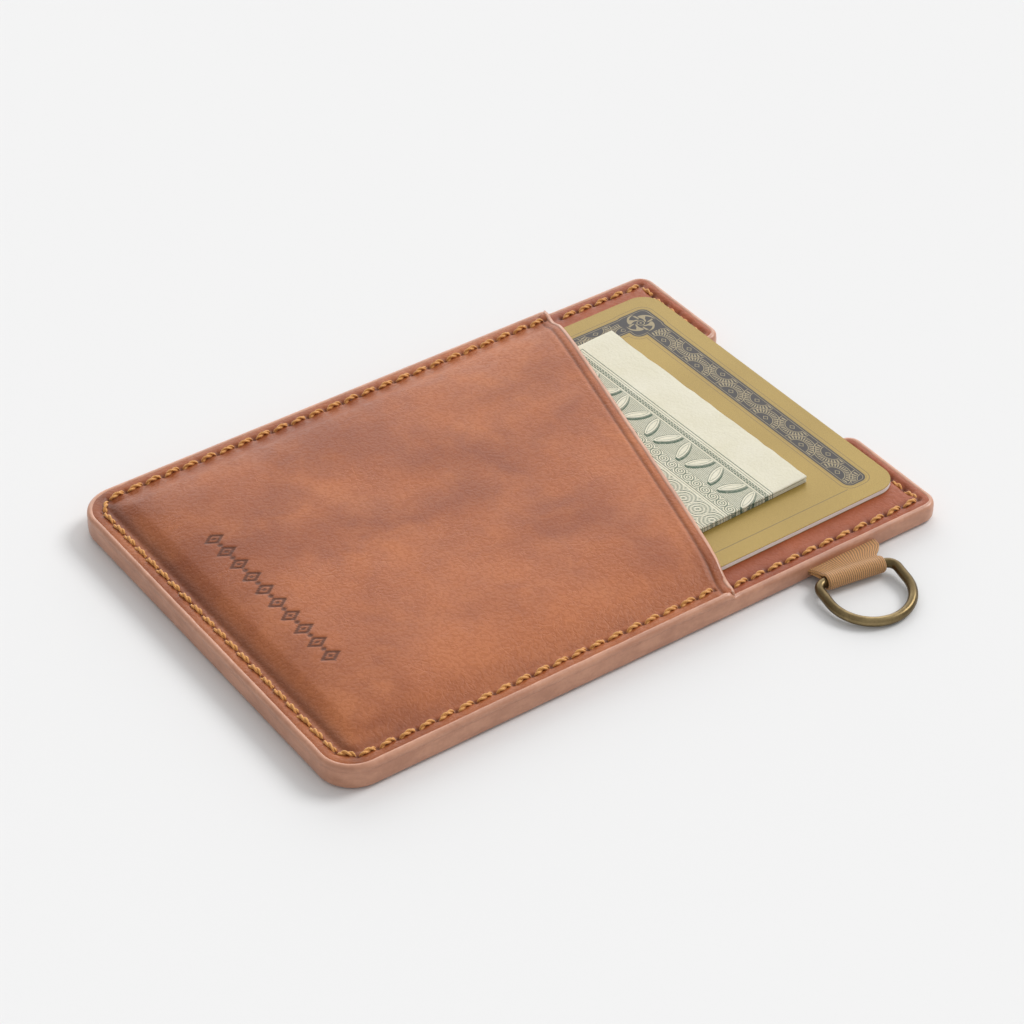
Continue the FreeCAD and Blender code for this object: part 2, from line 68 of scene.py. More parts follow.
# Outline of the leather stack
HALF_WIDTH = box_mm("edge_paint_body")[1].x
HALF_LENGTH = box_mm("edge_paint_body")[1].y
CLOSED_CORNER = 5.0
EAR_CORNER = 2.25
NOTCH_HALF = 14.0
NOTCH_DEPTH = 7.0
NOTCH_LIP = 2.0
NOTCH_FLOOR = 3.0
LEATHER_INSET = 0.45

# Heights of the layers
BACK_TOP = box_mm("back_panel")[1].z
DIVIDER_LOW, DIVIDER_TOP = box_mm("divider_panel")[0].z, box_mm("divider_panel")[1].z
FLANGE_TOP = box_mm("edge_paint_front")[1].z
CROWN_RISE = box_mm("front_panel")[1].z - FLANGE_TOP
FRONT_THICK = 0.85

# Slanted mouth: the line's height at the middle, and how far it drops per millimetre of X
MOUTH_MIDDLE = 20.7
MOUTH_SLOPE = -math.tan(math.radians(14.43))

# Stitching
STITCH_INSET = 2.1
STITCH_PITCH = 2.8
SEAM_GROOVE = 0.13
BACK_GROOVE = 0.40
UNDER_CARD_GROOVE = 0.32
THREAD_SINK = 0.16
UNDER_CARD_SINK = 0.46
BACK_THREAD = 0.36

# Tab, its weave and the ring: reaches are counted out from the leather's edge, along the slightly turned tab
TAB_MIDDLE = 29.4
TAB_TURN = math.radians(-9.0)
TAB_HEIGHT = 1.4
TAB_ROOT_HALF = 5.65
TAB_LOOP_HALF = 4.2
TAB_FLARE = 0.15
TAB_NECK = 2.1
WEBBING_THICK = 0.38
RIB_PITCH = 0.30
PICK_PITCH = 0.21
LOOP_GAP = 0.07
WIRE_RADIUS = 0.65
BAR_REACH = 3.55
RING_HALF = 5.65
RING_DEPTH = 9.2
RING_CORNER = 1.4
RING_DROOP = math.radians(4.4)

# Card and banknote, each in its own plan frame
CARD_HALF_WIDTH = 26.99
CARD_HALF_LENGTH = 42.8
CARD_CORNER = 3.18
CARD_MIDDLE = (0.3, 0.9)
CARD_TURN = math.radians(0.83)
NOTE_HALF_WIDTH = 20.75
NOTE_HALF_LENGTH = 33.0
NOTE_MIDDLE = (0.05, 0.22)
NOTE_TURN = math.radians(1.78)
NOTE_PAPER = 0.15
NOTE_PITCH = 0.225
CHIP_PROUD = 0.025


# --- Mesh helpers ------------------------------------------------------------------------------------


def add_piece(name, points, faces, material, body, replaces=()):
    """A mesh piece from points in millimetres, riding on a body and standing for CAD nodes."""
    mesh = bpy.data.meshes.new(name)
    mesh.from_pydata((np.asarray(points, float) * MM).tolist(), [], faces)
    mesh.validate()
    mesh.polygons.foreach_set("use_smooth", [True] * len(mesh.polygons))
    mesh.materials.append(material)
    piece = bpy.data.objects.new(name, mesh)
    bpy.context.scene.collection.objects.link(piece)
    if body:
        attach(piece, body)
    if replaces:
        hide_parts(*replaces)
    return piece


def set_attribute(piece, name, values):
    """A per-point attribute that the material reads: numbers, or vectors."""
    values = np.asarray(values, np.float32)
    kind, key = ("FLOAT", "value") if values.ndim == 1 else ("FLOAT_VECTOR", "vector")
    attribute = piece.data.attributes.new(name, kind, "POINT")
    attribute.data.foreach_set(key, values.ravel())


def sharpen(piece, degrees):
    """Flat shading across edges sharper than an angle."""
    piece.data.set_sharp_from_angle(angle=math.radians(degrees))


def grid_faces(rows, columns, start=0, wrap_rows=False, wrap_columns=False):
    """Quads between the points of a grid, counted row by row."""
    faces = []
    for row in range(rows if wrap_rows else rows - 1):
        below, above = start + row * columns, start + (row + 1) % rows * columns
        for column in range(columns if wrap_columns else columns - 1):
            after = (column + 1) % columns
            faces.append((below + column, below + after, above + after, above + column))
    return faces


def spaced(*stretches):
    """Values from (start, end, step) stretches that follow one another."""
    values = [np.array([stretches[0][0]])]
    for start, end, step in stretches:
        count = max(1, round(abs(end - start) / step))
        values.append(np.linspace(start, end, count + 1)[1:])
    return np.concatenate(values)


def smooth_step(low, high, value):
    share = np.clip((value - low) / (high - low), 0, 1)
    return share * share * (3 - 2 * share)


def gauss(value, width):
    return np.exp(-((value / width) ** 2))


def waves(x, y, size, seed):
    """Smooth noise from -1 to 1 over the plan, with features about `size` across."""
    points = np.stack([x / size, y / size], -1).reshape(-1, 2)
    values = [noise.noise(Vector((px, py, seed))) for px, py in points]
    return np.array(values).reshape(np.shape(x))


# --- The wallet's outline ----------------------------------------------------------------------------


def mouth_line(x):
    return MOUTH_MIDDLE + MOUTH_SLOPE * x


def line_run(start, end):
    """Points and outward normals along a straight side that runs anticlockwise."""
    start, end = np.array(start), np.array(end)
    length = np.linalg.norm(end - start)
    share = np.linspace(0, 1, max(2, int(length / 0.5) + 1))[:-1, None]
    along = (end - start) / length
    normal = np.array([along[1], -along[0]])
    return start + (end - start) * share, np.repeat(normal[None], len(share), 0)


def arc_run(centre, radius, first, last):
    """Points and outward normals round a corner; a falling angle is a hollow corner."""
    count = max(8, int(abs(math.radians(last - first)) * radius / 0.35))
    angles = np.radians(np.linspace(first, last, count + 1)[:-1])
    radial = np.stack([np.cos(angles), np.sin(angles)], -1)
    return np.array(centre) + radius * radial, radial if last > first else -radial


def wallet_outline():
    """(points, normals) of the closed outline, anticlockwise from the far end of the mouth."""
    side, end = HALF_WIDTH, HALF_LENGTH
    low = end - CLOSED_CORNER
    ear_x, ear_y = side - EAR_CORNER, end - EAR_CORNER
    lip_x, lip_y = NOTCH_HALF + NOTCH_LIP, end - NOTCH_LIP
    floor = end - NOTCH_DEPTH
    floor_x, floor_y = NOTCH_HALF - NOTCH_FLOOR, floor + NOTCH_FLOOR
    runs = [
        line_run((-side, mouth_line(-side)), (-side, -low)),
        arc_run((-side + CLOSED_CORNER, -low), CLOSED_CORNER, 180, 270),
        line_run((-side + CLOSED_CORNER, -end), (side - CLOSED_CORNER, -end)),
        arc_run((side - CLOSED_CORNER, -low), CLOSED_CORNER, 270, 360),
        line_run((side, -low), (side, mouth_line(side))),
        line_run((side, mouth_line(side)), (side, ear_y)),
        arc_run((ear_x, ear_y), EAR_CORNER, 0, 90),
        line_run((ear_x, end), (lip_x, end)),
        arc_run((lip_x, lip_y), NOTCH_LIP, 90, 180),
        line_run((NOTCH_HALF, lip_y), (NOTCH_HALF, floor_y)),
        arc_run((floor_x, floor_y), NOTCH_FLOOR, 0, -90),
        line_run((floor_x, floor), (-floor_x, floor)),
        arc_run((-floor_x, floor_y), NOTCH_FLOOR, -90, -180),
        line_run((-NOTCH_HALF, floor_y), (-NOTCH_HALF, lip_y)),
        arc_run((-lip_x, lip_y), NOTCH_LIP, 0, 90),
        line_run((-lip_x, end), (-ear_x, end)),
        arc_run((-ear_x, ear_y), EAR_CORNER, 90, 180),
        line_run((-side, ear_y), (-side, mouth_line(-side))),
    ]
    front_count = sum(len(points) for points, _ in runs[:5]) + 1
    points = np.concatenate([points for points, _ in runs])
    normals = np.concatenate([normals for _, normals in runs])
    return points, normals, front_count


def edge_distance(x, y):
    """Distance inwards from the two long sides and the closed end."""
    over_x = np.abs(x) - (HALF_WIDTH - CLOSED_CORNER)
    over_y = -y - (HALF_LENGTH - CLOSED_CORNER)
    corner = np.hypot(np.maximum(over_x, 0), np.maximum(over_y, 0))
    return CLOSED_CORNER - np.where((over_x > 0) & (over_y > 0), corner, np.maximum(over_x, over_y))


def seam_holes():
    """Needle holes on the sewing line: runs of points between its sharp corners, as in the CAD model."""
    side, end = HALF_WIDTH - STITCH_INSET, HALF_LENGTH - STITCH_INSET
    radius = CLOSED_CORNER - STITCH_INSET
    low = HALF_LENGTH - CLOSED_CORNER
    floor = HALF_LENGTH - NOTCH_DEPTH - STITCH_INSET
    notch = NOTCH_HALF + STITCH_INSET
    bend = NOTCH_FLOOR + STITCH_INSET

    def arc(centre, first, last, radius):
        angles = np.radians(np.linspace(first, last, 24))
        return np.array(centre) + radius * np.stack([np.cos(angles), np.sin(angles)], -1)

    sleeve = [
        [(-side, end)],
        arc((-side + radius, -low), 180, 270, radius),
        arc((side - radius, -low), 270, 360, radius),
        [(side, end)],
    ]
    notch_floor = [
        [(notch, end)],
        arc((notch - bend, floor + bend), 0, -90, bend),
        arc((-notch + bend, floor + bend), -90, -180, bend),
        [(-notch, end)],
    ]
    corners = [sleeve, [[(side, end)], [(notch, end)]], notch_floor, [[(-notch, end)], [(-side, end)]]]
    return [even_points(np.concatenate([np.asarray(part, float) for part in run])) for run in corners]


def even_points(line):
    """Points at the stitch pitch, as near as the line's length allows."""
    steps = np.hypot(*np.diff(line, axis=0).T)
    reach = np.concatenate([[0], np.cumsum(steps)])
    count = round(reach[-1] / STITCH_PITCH)
    at = np.linspace(0, reach[-1], count + 1)
    return np.stack([np.interp(at, reach, line[:, axis]) for axis in (0, 1)], -1)


def stitch_pairs(keep):
    """(hole, next hole) for every stitch whose middle the test keeps."""
    pairs = []
    for run in seam_holes():
        for first, second in zip(run[:-1], run[1:]):
            middle = (first + second) / 2
            if keep(*middle):
                pairs.append((first, second))
    return pairs


FRONT_STITCHES = stitch_pairs(lambda x, y: y < mouth_line(x) - 1.2)
DIVIDER_STITCHES = stitch_pairs(lambda x, y: y > mouth_line(x) + 1.2)
BACK_STITCHES = stitch_pairs(lambda x, y: True)


def hole_press(x, y, stitches, pull=0.06, hole=0.34):
    """How far the seam draws the leather in: a soft dent at each hole, and the hole itself."""
    depth = np.zeros(np.shape(x))
    for centre in np.concatenate([np.stack(pair) for pair in stitches]):
        near = (np.abs(x - centre[0]) < 2.4) & (np.abs(y - centre[1]) < 2.4)
        away = np.hypot(x[near] - centre[0], y[near] - centre[1])
        depth[near] = np.maximum(depth[near], pull * gauss(away, 1.1) + hole * gauss(away, 0.3))
    return depth


# --- Leather panels ----------------------------------------------------------------------------------


def front_height(x, y):
    """Top of the front panel: sewn flat at its rim, raised over the card and the folded note."""
    inward = edge_distance(x, y)
    near, far, closed = (
        1 - np.exp(-np.maximum(reach - 2.9, 0) / slope)
        for reach, slope in ((HALF_WIDTH - x, 3.9), (HALF_WIDTH + x, 2.9), (HALF_LENGTH + y, 3.3))
    )
    crown = CROWN_RISE * near * far * closed * smooth_step(2.4, 6.0, inward)
    rim = -0.14 * gauss(inward - LEATHER_INSET, 0.45)
    at_end = smooth_step(-36.0, -41.0, y)
    valley = -(0.10 + 0.16 * at_end) * gauss(inward - 2.9, 0.55) - 0.10 * gauss(inward - STITCH_INSET, 0.5)
    lift = 0.05 * waves(x, y, 11.0, 3.1) + 0.018 * waves(x, y, 3.2, 7.7)
    to_mouth = (mouth_line(x) - y) * math.cos(math.atan(MOUTH_SLOPE))
    crease = -0.16 * gauss(to_mouth - 1.55, 0.28) + 0.03 * gauss(to_mouth - 2.3, 0.4)
    return FLANGE_TOP + crown + rim + valley + crease + lift * smooth_step(3.0, 7.0, inward)


def tool_mark(x, y):
    """Strength of the debossed row near the closed end: lozenges with a dot between each pair."""
    middle_x, middle_y, half_row, count = 0.7, -36.25, 13.8, 10
    pitch = 2 * half_row / (count - 1)
    along = (x - middle_x + half_row) / pitch
    cell = (along - np.round(along)) * pitch
    up = y - middle_y
    lozenge = np.abs(cell) / 1.05 + np.abs(up) / 1.45
    strokes = gauss(lozenge - 0.8, 0.19) + gauss(lozenge, 0.26)
    half_along = along - 0.5
    dot = np.hypot((half_along - np.round(half_along)) * pitch, up)
    within = (along > -0.5) & (along < count - 0.5)
    between = (along > 0) & (along < count - 1)
    return np.clip(strokes, 0, 1) * within + gauss(dot, 0.32) * between


def make_front_panel(material):
    """The pocket front: a fine sheet over a coarser underside, closed along its edges."""
    half = HALF_WIDTH - LEATHER_INSET
    radius = CLOSED_CORNER - LEATHER_INSET
    right = spaced((0, 15.5, 0.24), (15.5, 28.4, 0.5), (28.4, half, 0.2))
    across = np.concatenate([-right[:0:-1], right]) / half
    angles = np.radians(np.linspace(90, 0, 90))
    low = -(HALF_LENGTH - CLOSED_CORNER)
    rows = []
    for angle in angles:
        width = HALF_WIDTH - CLOSED_CORNER + radius * math.cos(angle)
        rows.append((across * width, np.full(len(across), low - radius * math.sin(angle))))
    x = across * half
    top = mouth_line(x) - 0.25 / math.cos(math.atan(MOUTH_SLOPE))
    length = top.mean() - low
    rise = spaced((0, 1.9, 0.16), (1.9, length - 3.2, 0.27), (length - 3.2, length, 0.14)) / length
    for share in rise[1:]:
        rows.append((x, low + (top - low) * share))
    x = np.array([row[0] for row in rows])
    y = np.array([row[1] for row in rows])

    mark = tool_mark(x, y)
    z = front_height(x, y) - hole_press(x, y, FRONT_STITCHES) - 0.17 * mark
    count_rows, count_columns = x.shape
    points = np.stack([x, y, z], -1).reshape(-1, 3)
    faces = grid_faces(count_rows, count_columns)

    keep_rows = sorted({*range(0, count_rows, 5), count_rows - 1})
    keep_columns = sorted({*range(0, count_columns, 5), count_columns - 1})
    under = np.ix_(keep_rows, keep_columns)
    start = len(points)
    lower = np.stack([x[under], y[under], front_height(x[under], y[under]) - FRONT_THICK], -1)
    points = np.concatenate([points, lower.reshape(-1, 3)])
    faces += [face[::-1] for face in grid_faces(len(keep_rows), len(keep_columns), start)]

    def rim_faces(kept, upper_index, lower_index, flip):
        for place, (first, last) in enumerate(zip(kept[:-1], kept[1:])):
            loop = [upper_index(k) for k in range(first, last + 1)]
            loop += [lower_index(place + 1), lower_index(place)]
            faces.append(tuple(loop[::-1] if flip else loop))

    wide, deep = len(keep_columns), len(keep_rows)
    rim_faces(keep_columns, lambda k: k, lambda k: start + k, True)
    last_row = (count_rows - 1) * count_columns
    rim_faces(keep_columns, lambda k: last_row + k, lambda k: start + (deep - 1) * wide + k, False)
    rim_faces(keep_rows, lambda k: k * count_columns, lambda k: start + k * wide, False)
    rim_faces(keep_rows, lambda k: (k + 1) * count_columns - 1, lambda k: start + (k + 1) * wide - 1, True)

    piece = add_piece(
        "front_panel_leather", points, faces, material, "wallet", ["front_panel"],
    )
    wear = np.zeros(len(points))
    wear[:start] = mark.ravel()
    set_attribute(piece, "mark", wear)
    # Painted shade: darker at the needle holes, in the valley just inside the closed end, along the sewing
    # line and in the crease by the mouth; the colour also darkens towards the closed end over its last 17 mm.
    painted_shade = np.zeros(len(points))
    inward = edge_distance(x, y)
    holes = hole_press(x, y, FRONT_STITCHES, 0.25, 1.0)
    to_mouth = (mouth_line(x) - y) * math.cos(math.atan(MOUTH_SLOPE))
    valley = 0.50 * gauss(HALF_LENGTH + y - 3.5, 0.9) + 0.22 * gauss(inward - 3.2, 0.9)
    valley += 0.17 * smooth_step(17.0, 4.0, HALF_LENGTH + y)
    crease = 0.75 * gauss(to_mouth - 1.55, 0.22)
    painted_shade[:start] = np.clip(np.maximum.reduce([holes, valley, crease]), 0, 1).ravel()
    set_attribute(piece, "painted_shade", painted_shade)
    return piece


def notched_patches(columns, rows):
    """Plan grids of a full-outline panel: the sheet up to the notch floor, and the two ears."""
    half, end = HALF_WIDTH - LEATHER_INSET, HALF_LENGTH - LEATHER_INSET
    corner = CLOSED_CORNER - LEATHER_INSET
    centre = HALF_LENGTH - CLOSED_CORNER
    floor = HALF_LENGTH - NOTCH_DEPTH - LEATHER_INSET
    ear = EAR_CORNER - LEATHER_INSET
    lip = NOTCH_LIP - LEATHER_INSET
    bend = NOTCH_FLOOR + LEATHER_INSET
    notch = NOTCH_HALF + LEATHER_INSET
    start = notch - bend

    def outer(y):
        if y < -centre:
            return half - corner + math.sqrt(max(0.0, corner**2 - (y + centre) ** 2))
        over = max(0.0, y - (end - ear))
        return half - ear + math.sqrt(max(0.0, ear**2 - over**2))

    def inner(y):
        if y < floor + bend:
            return start + math.sqrt(max(0.0, bend**2 - (floor + bend - y) ** 2))
        over = max(0.0, y - (end - lip))
        return notch + lip - math.sqrt(max(0.0, lip**2 - over**2))

    inner_columns = columns[columns < start - 0.05]
    ear_columns = (columns[columns > start + 0.05] - start) / (half - start)
    ear_share = np.concatenate([[0], ear_columns, [1] * int(ear_columns[-1] < 1)])
    side = np.concatenate([inner_columns, start + ear_share * (half - start)])
    full = np.concatenate([-side[:0:-1], side])
    bottom = -centre - corner * np.sin(np.radians(np.linspace(90, 0, 36)))
    body_rows = np.concatenate([bottom, rows[(rows > -centre) & (rows < floor - 0.1)], [floor]])
    curve = np.radians(np.linspace(0, 90, 9))
    ear_rows = np.concatenate([
        floor + bend * (1 - np.cos(curve)),
        rows[(rows > floor + bend + 0.1) & (rows < end - ear - 0.1)],
        end - ear + ear * np.sin(curve),
    ])
    lower = [(full * outer(y) / half if y < -centre else full, np.full(len(full), y)) for y in body_rows]
    ears = []
    for hand in (1, -1):
        share = ear_share if hand > 0 else ear_share[::-1]
        ears.append([
            (hand * (inner(y) + share * (outer(y) - inner(y))), np.full(len(share), y)) for y in ear_rows
        ])
    return [(np.array([r[0] for r in patch]), np.array([r[1] for r in patch])) for patch in (lower, *ears)]


def closed_sheet(patches, top_height, low_height):
    """One closed sheet over plan patches whose shared edges are welded."""
    ids, plan, faces = {}, [], []
    for x, y in patches:
        rows, columns = x.shape
        index = []
        for px, py in zip(x.ravel(), y.ravel()):
            key = (round(px * 2000), round(py * 2000))
            if key not in ids:
                ids[key] = len(plan)
                plan.append((px, py))
            index.append(ids[key])
        faces += [tuple(index[k] for k in face) for face in grid_faces(rows, columns)]
    faces = [face for face in faces if len(set(face)) == 4]
    plan = np.array(plan)
    used = dict.fromkeys(edge for face in faces for edge in zip(face, face[1:] + face[:1]))
    rim = [edge for edge in used if edge[::-1] not in used]
    count = len(plan)
    x, y = plan.T
    points = np.concatenate([
        np.column_stack([plan, top_height(x, y)]),
        np.column_stack([plan, low_height(x, y)]),
    ])
    faces += [tuple(k + count for k in face[::-1]) for face in faces]
    faces += [(second, first, first + count, second + count) for first, second in rim]
    return points, faces


def rim_distance(x, y):
    """Distance inwards from the whole outline, ears and notch included, good near the edge."""
    open_end = HALF_LENGTH - y
    beside_notch = np.where(y > HALF_LENGTH - NOTCH_DEPTH - 1, np.abs(x) - NOTCH_HALF, 99.0)
    ahead_of_notch = np.where(np.abs(x) < NOTCH_HALF, HALF_LENGTH - NOTCH_DEPTH - y, 99.0)
    return np.minimum.reduce([edge_distance(x, y), open_end, beside_notch, ahead_of_notch])


def seam_relief(x, y, stitches, deep):
    """Rim, sewing groove and needle holes of a flat panel, counted inwards from its face."""
    inward = rim_distance(x, y)
    rim = 0.14 * gauss(inward - LEATHER_INSET, 0.45)
    groove = deep * gauss(inward - STITCH_INSET, 0.5)
    return rim + groove + hole_press(x, y, stitches) - 0.02 * waves(x, y, 4.0, 2.3)


def under_card(x):
    """1 where the card slides over the divider, so the seam is sunk there, and 0 beside it."""
    return smooth_step(29.3, 28.4, np.abs(x))


def divider_seam_height(x, y):
    """Level that the divider's thread is laid on."""
    return DIVIDER_TOP - THREAD_SINK - UNDER_CARD_SINK * under_card(x)


def make_flat_panel(name, columns, rows, heights, relief_on_top, stitches, material, node):
    """Divider or back panel: one face carries the seam's relief, the other is plain."""
    low, top = heights


    def top_height(x, y):
        if not relief_on_top:
            return np.full(len(x), top)
        return top - seam_relief(x, y, stitches, SEAM_GROOVE + UNDER_CARD_GROOVE * under_card(x))

    def low_height(x, y):
        if relief_on_top:
            return np.full(len(x), low)
        return low + np.maximum(seam_relief(x, y, stitches, BACK_GROOVE), 0.0)

    points, faces = closed_sheet(notched_patches(columns, rows), top_height, low_height)
    piece = add_piece(name, points, faces, material, "wallet", [node])
    # Painted shade: darker at the needle holes and along the sewing groove.
    painted_shade = hole_press(points[:, 0], points[:, 1], stitches, 0.25, 1.0)
    painted_shade += 0.25 * gauss(rim_distance(points[:, 0], points[:, 1]) - STITCH_INSET, 0.6)
    set_attribute(piece, "painted_shade", np.clip(painted_shade, 0, 1))
    set_attribute(piece, "mark", np.zeros(len(points)))
    return piece


# --- Painted edges -----------------------------------------------------------------------------------


def arc_share(count):
    return np.radians(np.linspace(0, 90, count))


def body_profile(top_round):
    """(inset, height) round the painted edge of the stack; top_round is the radius at its top."""
    turn = arc_share(7)
    bottom = [(0.72 * (1 - math.sin(a)), 0.72 - 0.70 * math.cos(a)) for a in turn]
    middle = [(-0.03, 1.2), (-0.04, 1.7)]
    top = [(top_round * (1 - math.cos(a)), DIVIDER_TOP - top_round * (1 - math.sin(a)) - 0.02) for a in turn]
    return [(0.95, 0.06)] + bottom + middle + top + [(0.95, DIVIDER_TOP - 0.16)]


def front_profile(shrink):
    """(inset, height) round the painted edge of the front panel; shrink lowers it at its ends."""
    low = DIVIDER_TOP - 0.03
    height = (FLANGE_TOP - 0.04 - low) * shrink
    turn = arc_share(8)
    top = [(0.55 * (1 - math.cos(a)), low + height - 0.55 * shrink * (1 - math.sin(a))) for a in turn]
    foot = [(0.95, low), (0.0, low), (-0.02, low + 0.1 * shrink)]
    return foot + top + [(0.95, low + height - 0.12 * shrink)]


def sweep(points, normals, profiles, closed):
    """Points and faces of a solid whose section is one of the profiles at each point of a plan line."""
    rings = []
    for index, (point, normal, profile) in enumerate(zip(points, normals, profiles)):
        wobble = 0.025 * noise.noise(Vector((*point * 0.35, 5.0)))
        for inset, height in profile:
            x, y = point - normal * (inset + wobble)
            rings.append((x, y, height + 0.5 * wobble * (height > 1)))
    size = len(profiles[0])
    faces = grid_faces(len(points), size, wrap_rows=closed, wrap_columns=True)
    faces = [face[::-1] for face in faces]
    if not closed:
        last = (len(points) - 1) * size
        faces += [tuple(range(size)), tuple(last + k for k in range(size))[::-1]]
    return rings, faces


def make_painted_edges(material):
    points, normals, front_count = wallet_outline()
    open_part = points[:, 1] - mouth_line(points[:, 0])
    rounds = 0.08 + 0.50 * smooth_step(-0.4, 0.8, open_part)
    rings, faces = sweep(points, normals, [body_profile(size) for size in rounds], True)
    add_piece("edge_paint_body_bead", rings, faces, material, "wallet", ["edge_paint_body"])

    part = np.arange(front_count)
    reach = np.minimum(part, front_count - 1 - part) * 0.5
    shrinks = np.sqrt(np.clip(1 - (1 - np.clip(reach / 0.9, 0, 1)) ** 2, 0.06, 1))
    profiles = [front_profile(shrink) for shrink in shrinks]
    rings, faces = sweep(points[:front_count], normals[:front_count], profiles, False)
    add_piece("edge_paint_front_bead", rings, faces, material, "wallet", ["edge_paint_front"])

    x = np.linspace(-HALF_WIDTH + 0.3, HALF_WIDTH - 0.3, 180)
    tilt = math.atan(MOUTH_SLOPE)
    back = 0.25 / math.cos(tilt)
    top = front_height(x, mouth_line(x) - back)
    loop = [(-0.45, 0.00), (-0.15, 0.015), (0.08, -0.05), (0.22, -0.2), (0.27, -0.42), (0.23, -0.64)]
    loop += [(0.08, -0.80), (-0.15, -FRONT_THICK), (-0.45, -FRONT_THICK + 0.02)]
    rings = []
    for px, height in zip(x, top):
        fade = float(smooth_step(0.0, 0.7, HALF_WIDTH - abs(px)))
        wobble = 0.03 * noise.noise(Vector((px * 0.4, 0, 9.0)))
        for out, drop in loop:
            out = out * fade - 0.1 + wobble
            rings.append((px - math.sin(tilt) * out, mouth_line(px) + math.cos(tilt) * out, height + drop))
    faces = [face[::-1] for face in grid_faces(len(x), len(loop), wrap_columns=True)]
    last = (len(x) - 1) * len(loop)
    faces += [tuple(range(len(loop))), tuple(last + k for k in range(len(loop)))[::-1]]
    add_piece("edge_paint_mouth_bead", rings, faces, material, "wallet", ["edge_paint_mouth"])


# --- Stitches ----------------------------------------------------------------------------------------


def thread_points(first, last, height, side, rng, plump=1.0):
    """Two twisted plies that come up out of one hole, lie along the seam and go down the next."""
    rings, sides, radius = 15, 7, 0.145 * plump
    span = last - first
    along = span / np.linalg.norm(span)
    across = np.array([-along[1], along[0]])
    slant = rng.uniform(0.10, 0.20)
    phase = rng.uniform(0, math.pi)
    rise = rng.uniform(0.85, 1.1)
    points, faces = [], []
    for ply in (0, 1):
        start = len(points)
        for ring in range(rings):
            share = ring / (rings - 1)
            lift = math.sin(math.pi * share) ** 0.55 if 0 < share < 1 else 0.0
            level = height + side * (0.42 * plump * rise * lift - 0.28)
            sway = slant * (share - 0.5) * 2
            middle = first + span * (0.08 + 0.84 * share) + across * sway
            turn = phase + math.pi * ply + share * 2.2 * math.pi
            core = middle + across * (0.125 * math.cos(turn) * plump)
            core_level = level + 0.125 * math.sin(turn) * plump
            size = radius * (0.62 + 0.38 * min(1.0, lift * 1.3))
            for k in range(sides):
                around = 2 * math.pi * k / sides
                at = core + across * (size * math.cos(around))
                points.append((at[0], at[1], core_level + size * math.sin(around)))
        faces += grid_faces(rings, sides, start, wrap_columns=True)
        faces += [tuple(start + k for k in range(sides))[::-1]]
        faces += [tuple(start + (rings - 1) * sides + k for k in range(sides))]
    return points, faces


def make_stitches(name, stitches, height_at, side, material, node, plump=1.0):
    rng = random.Random(name)
    points, faces, tints = [], [], []
    for first, last in stitches:
        middle = (first + last) / 2
        height = float(height_at(np.array([middle[0]]), np.array([middle[1]]))[0])
        more_points, more_faces = thread_points(first, last, height, side, rng, plump)
        faces += [tuple(k + len(points) for k in face) for face in more_faces]
        points += more_points
        tints += [rng.random()] * len(more_points)
    piece = add_piece(name, points, faces, material, "wallet", [node])
    set_attribute(piece, "tint", tints)
    return piece


# --- Tab and ring ------------------------------------------------------------------------------------


def tab_point(reach, across, rise):
    """A point of the tab's own turned frame, in the row frame."""
    x = HALF_WIDTH + reach * math.cos(TAB_TURN) - across * math.sin(TAB_TURN)
    y = TAB_MIDDLE + reach * math.sin(TAB_TURN) + across * math.cos(TAB_TURN)
    return x, y, TAB_HEIGHT + rise


def tab_section():
    """The folded webbing seen along the bar: lower ply, loop, upper ply, as (reach, rise, facing)."""
    loop = WIRE_RADIUS + LOOP_GAP + WEBBING_THICK / 2
    ply = 0.2
    bend = 1.5 * loop
    swing = math.acos(1 - (loop - ply) / (bend + loop))
    turn_start = BAR_REACH - (bend + loop) * math.sin(swing)
    line = [(reach, -ply, -math.pi / 2) for reach in np.linspace(-1.8, turn_start, 8)[:-1]]
    for share in np.linspace(0, 1, 9)[:-1]:
        angle = swing * share
        reach = turn_start + bend * math.sin(angle)
        line.append((reach, -ply - bend * (1 - math.cos(angle)), -math.pi / 2 - angle))
    for share in np.linspace(0, 1, 33):
        angle = -math.pi / 2 - swing + (math.pi + 2 * swing) * share
        line.append((BAR_REACH + loop * math.cos(angle), loop * math.sin(angle), angle))
    upper = [(reach, -rise, -angle) for reach, rise, angle in line[:15]]
    return line + upper[::-1]


def make_tab(material):
    """Ribbed webbing folded round the bar."""
    line = np.array(tab_section())
    count = 192
    share = np.linspace(-1, 1, count)
    points = []
    size = 2 * len(line)
    reach = np.concatenate([[0], np.cumsum(np.hypot(*np.diff(line[:, :2], axis=0).T))])
    for across in share:
        for face, order in ((1, range(len(line))), (-1, range(len(line) - 1, -1, -1))):
            for k in order:
                out_along, rise, angle = line[k]
                narrow = float(smooth_step(TAB_FLARE, TAB_NECK, out_along))
                half = TAB_ROOT_HALF + (TAB_LOOP_HALF - TAB_ROOT_HALF) * narrow
                rib = math.cos(2 * math.pi * across * TAB_LOOP_HALF / RIB_PITCH)
                rib_depth = 0.026 * rib + 0.02 * noise.noise(Vector((across * 9, reach[k] * 1.5, 1.0)))
                selvedge = 1 - 0.55 * max(0.0, abs(across) - 0.96) / 0.04
                out = face * (WEBBING_THICK / 2 + rib_depth) * selvedge
                out_along += out * math.cos(angle)
                points.append(tab_point(out_along, across * half, rise + out * math.sin(angle)))
    faces = grid_faces(count, size, wrap_columns=True)
    faces += [tuple(range(size))[::-1], tuple((count - 1) * size + k for k in range(size))]
    tab = add_piece("tab_grosgrain", points, faces, material, None)
    set_attribute(tab, "weave", [
        (across * TAB_LOOP_HALF, reach[min(k, size - 1 - k)], 0.0) for across in share for k in range(size)
    ])
    start, end = Vector(tab_point(-0.3, 0, 0)) * MM, Vector(tab_point(1.4, 0, 0)) * MM
    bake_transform(tab)
    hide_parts("tab_webbing")
    return tab


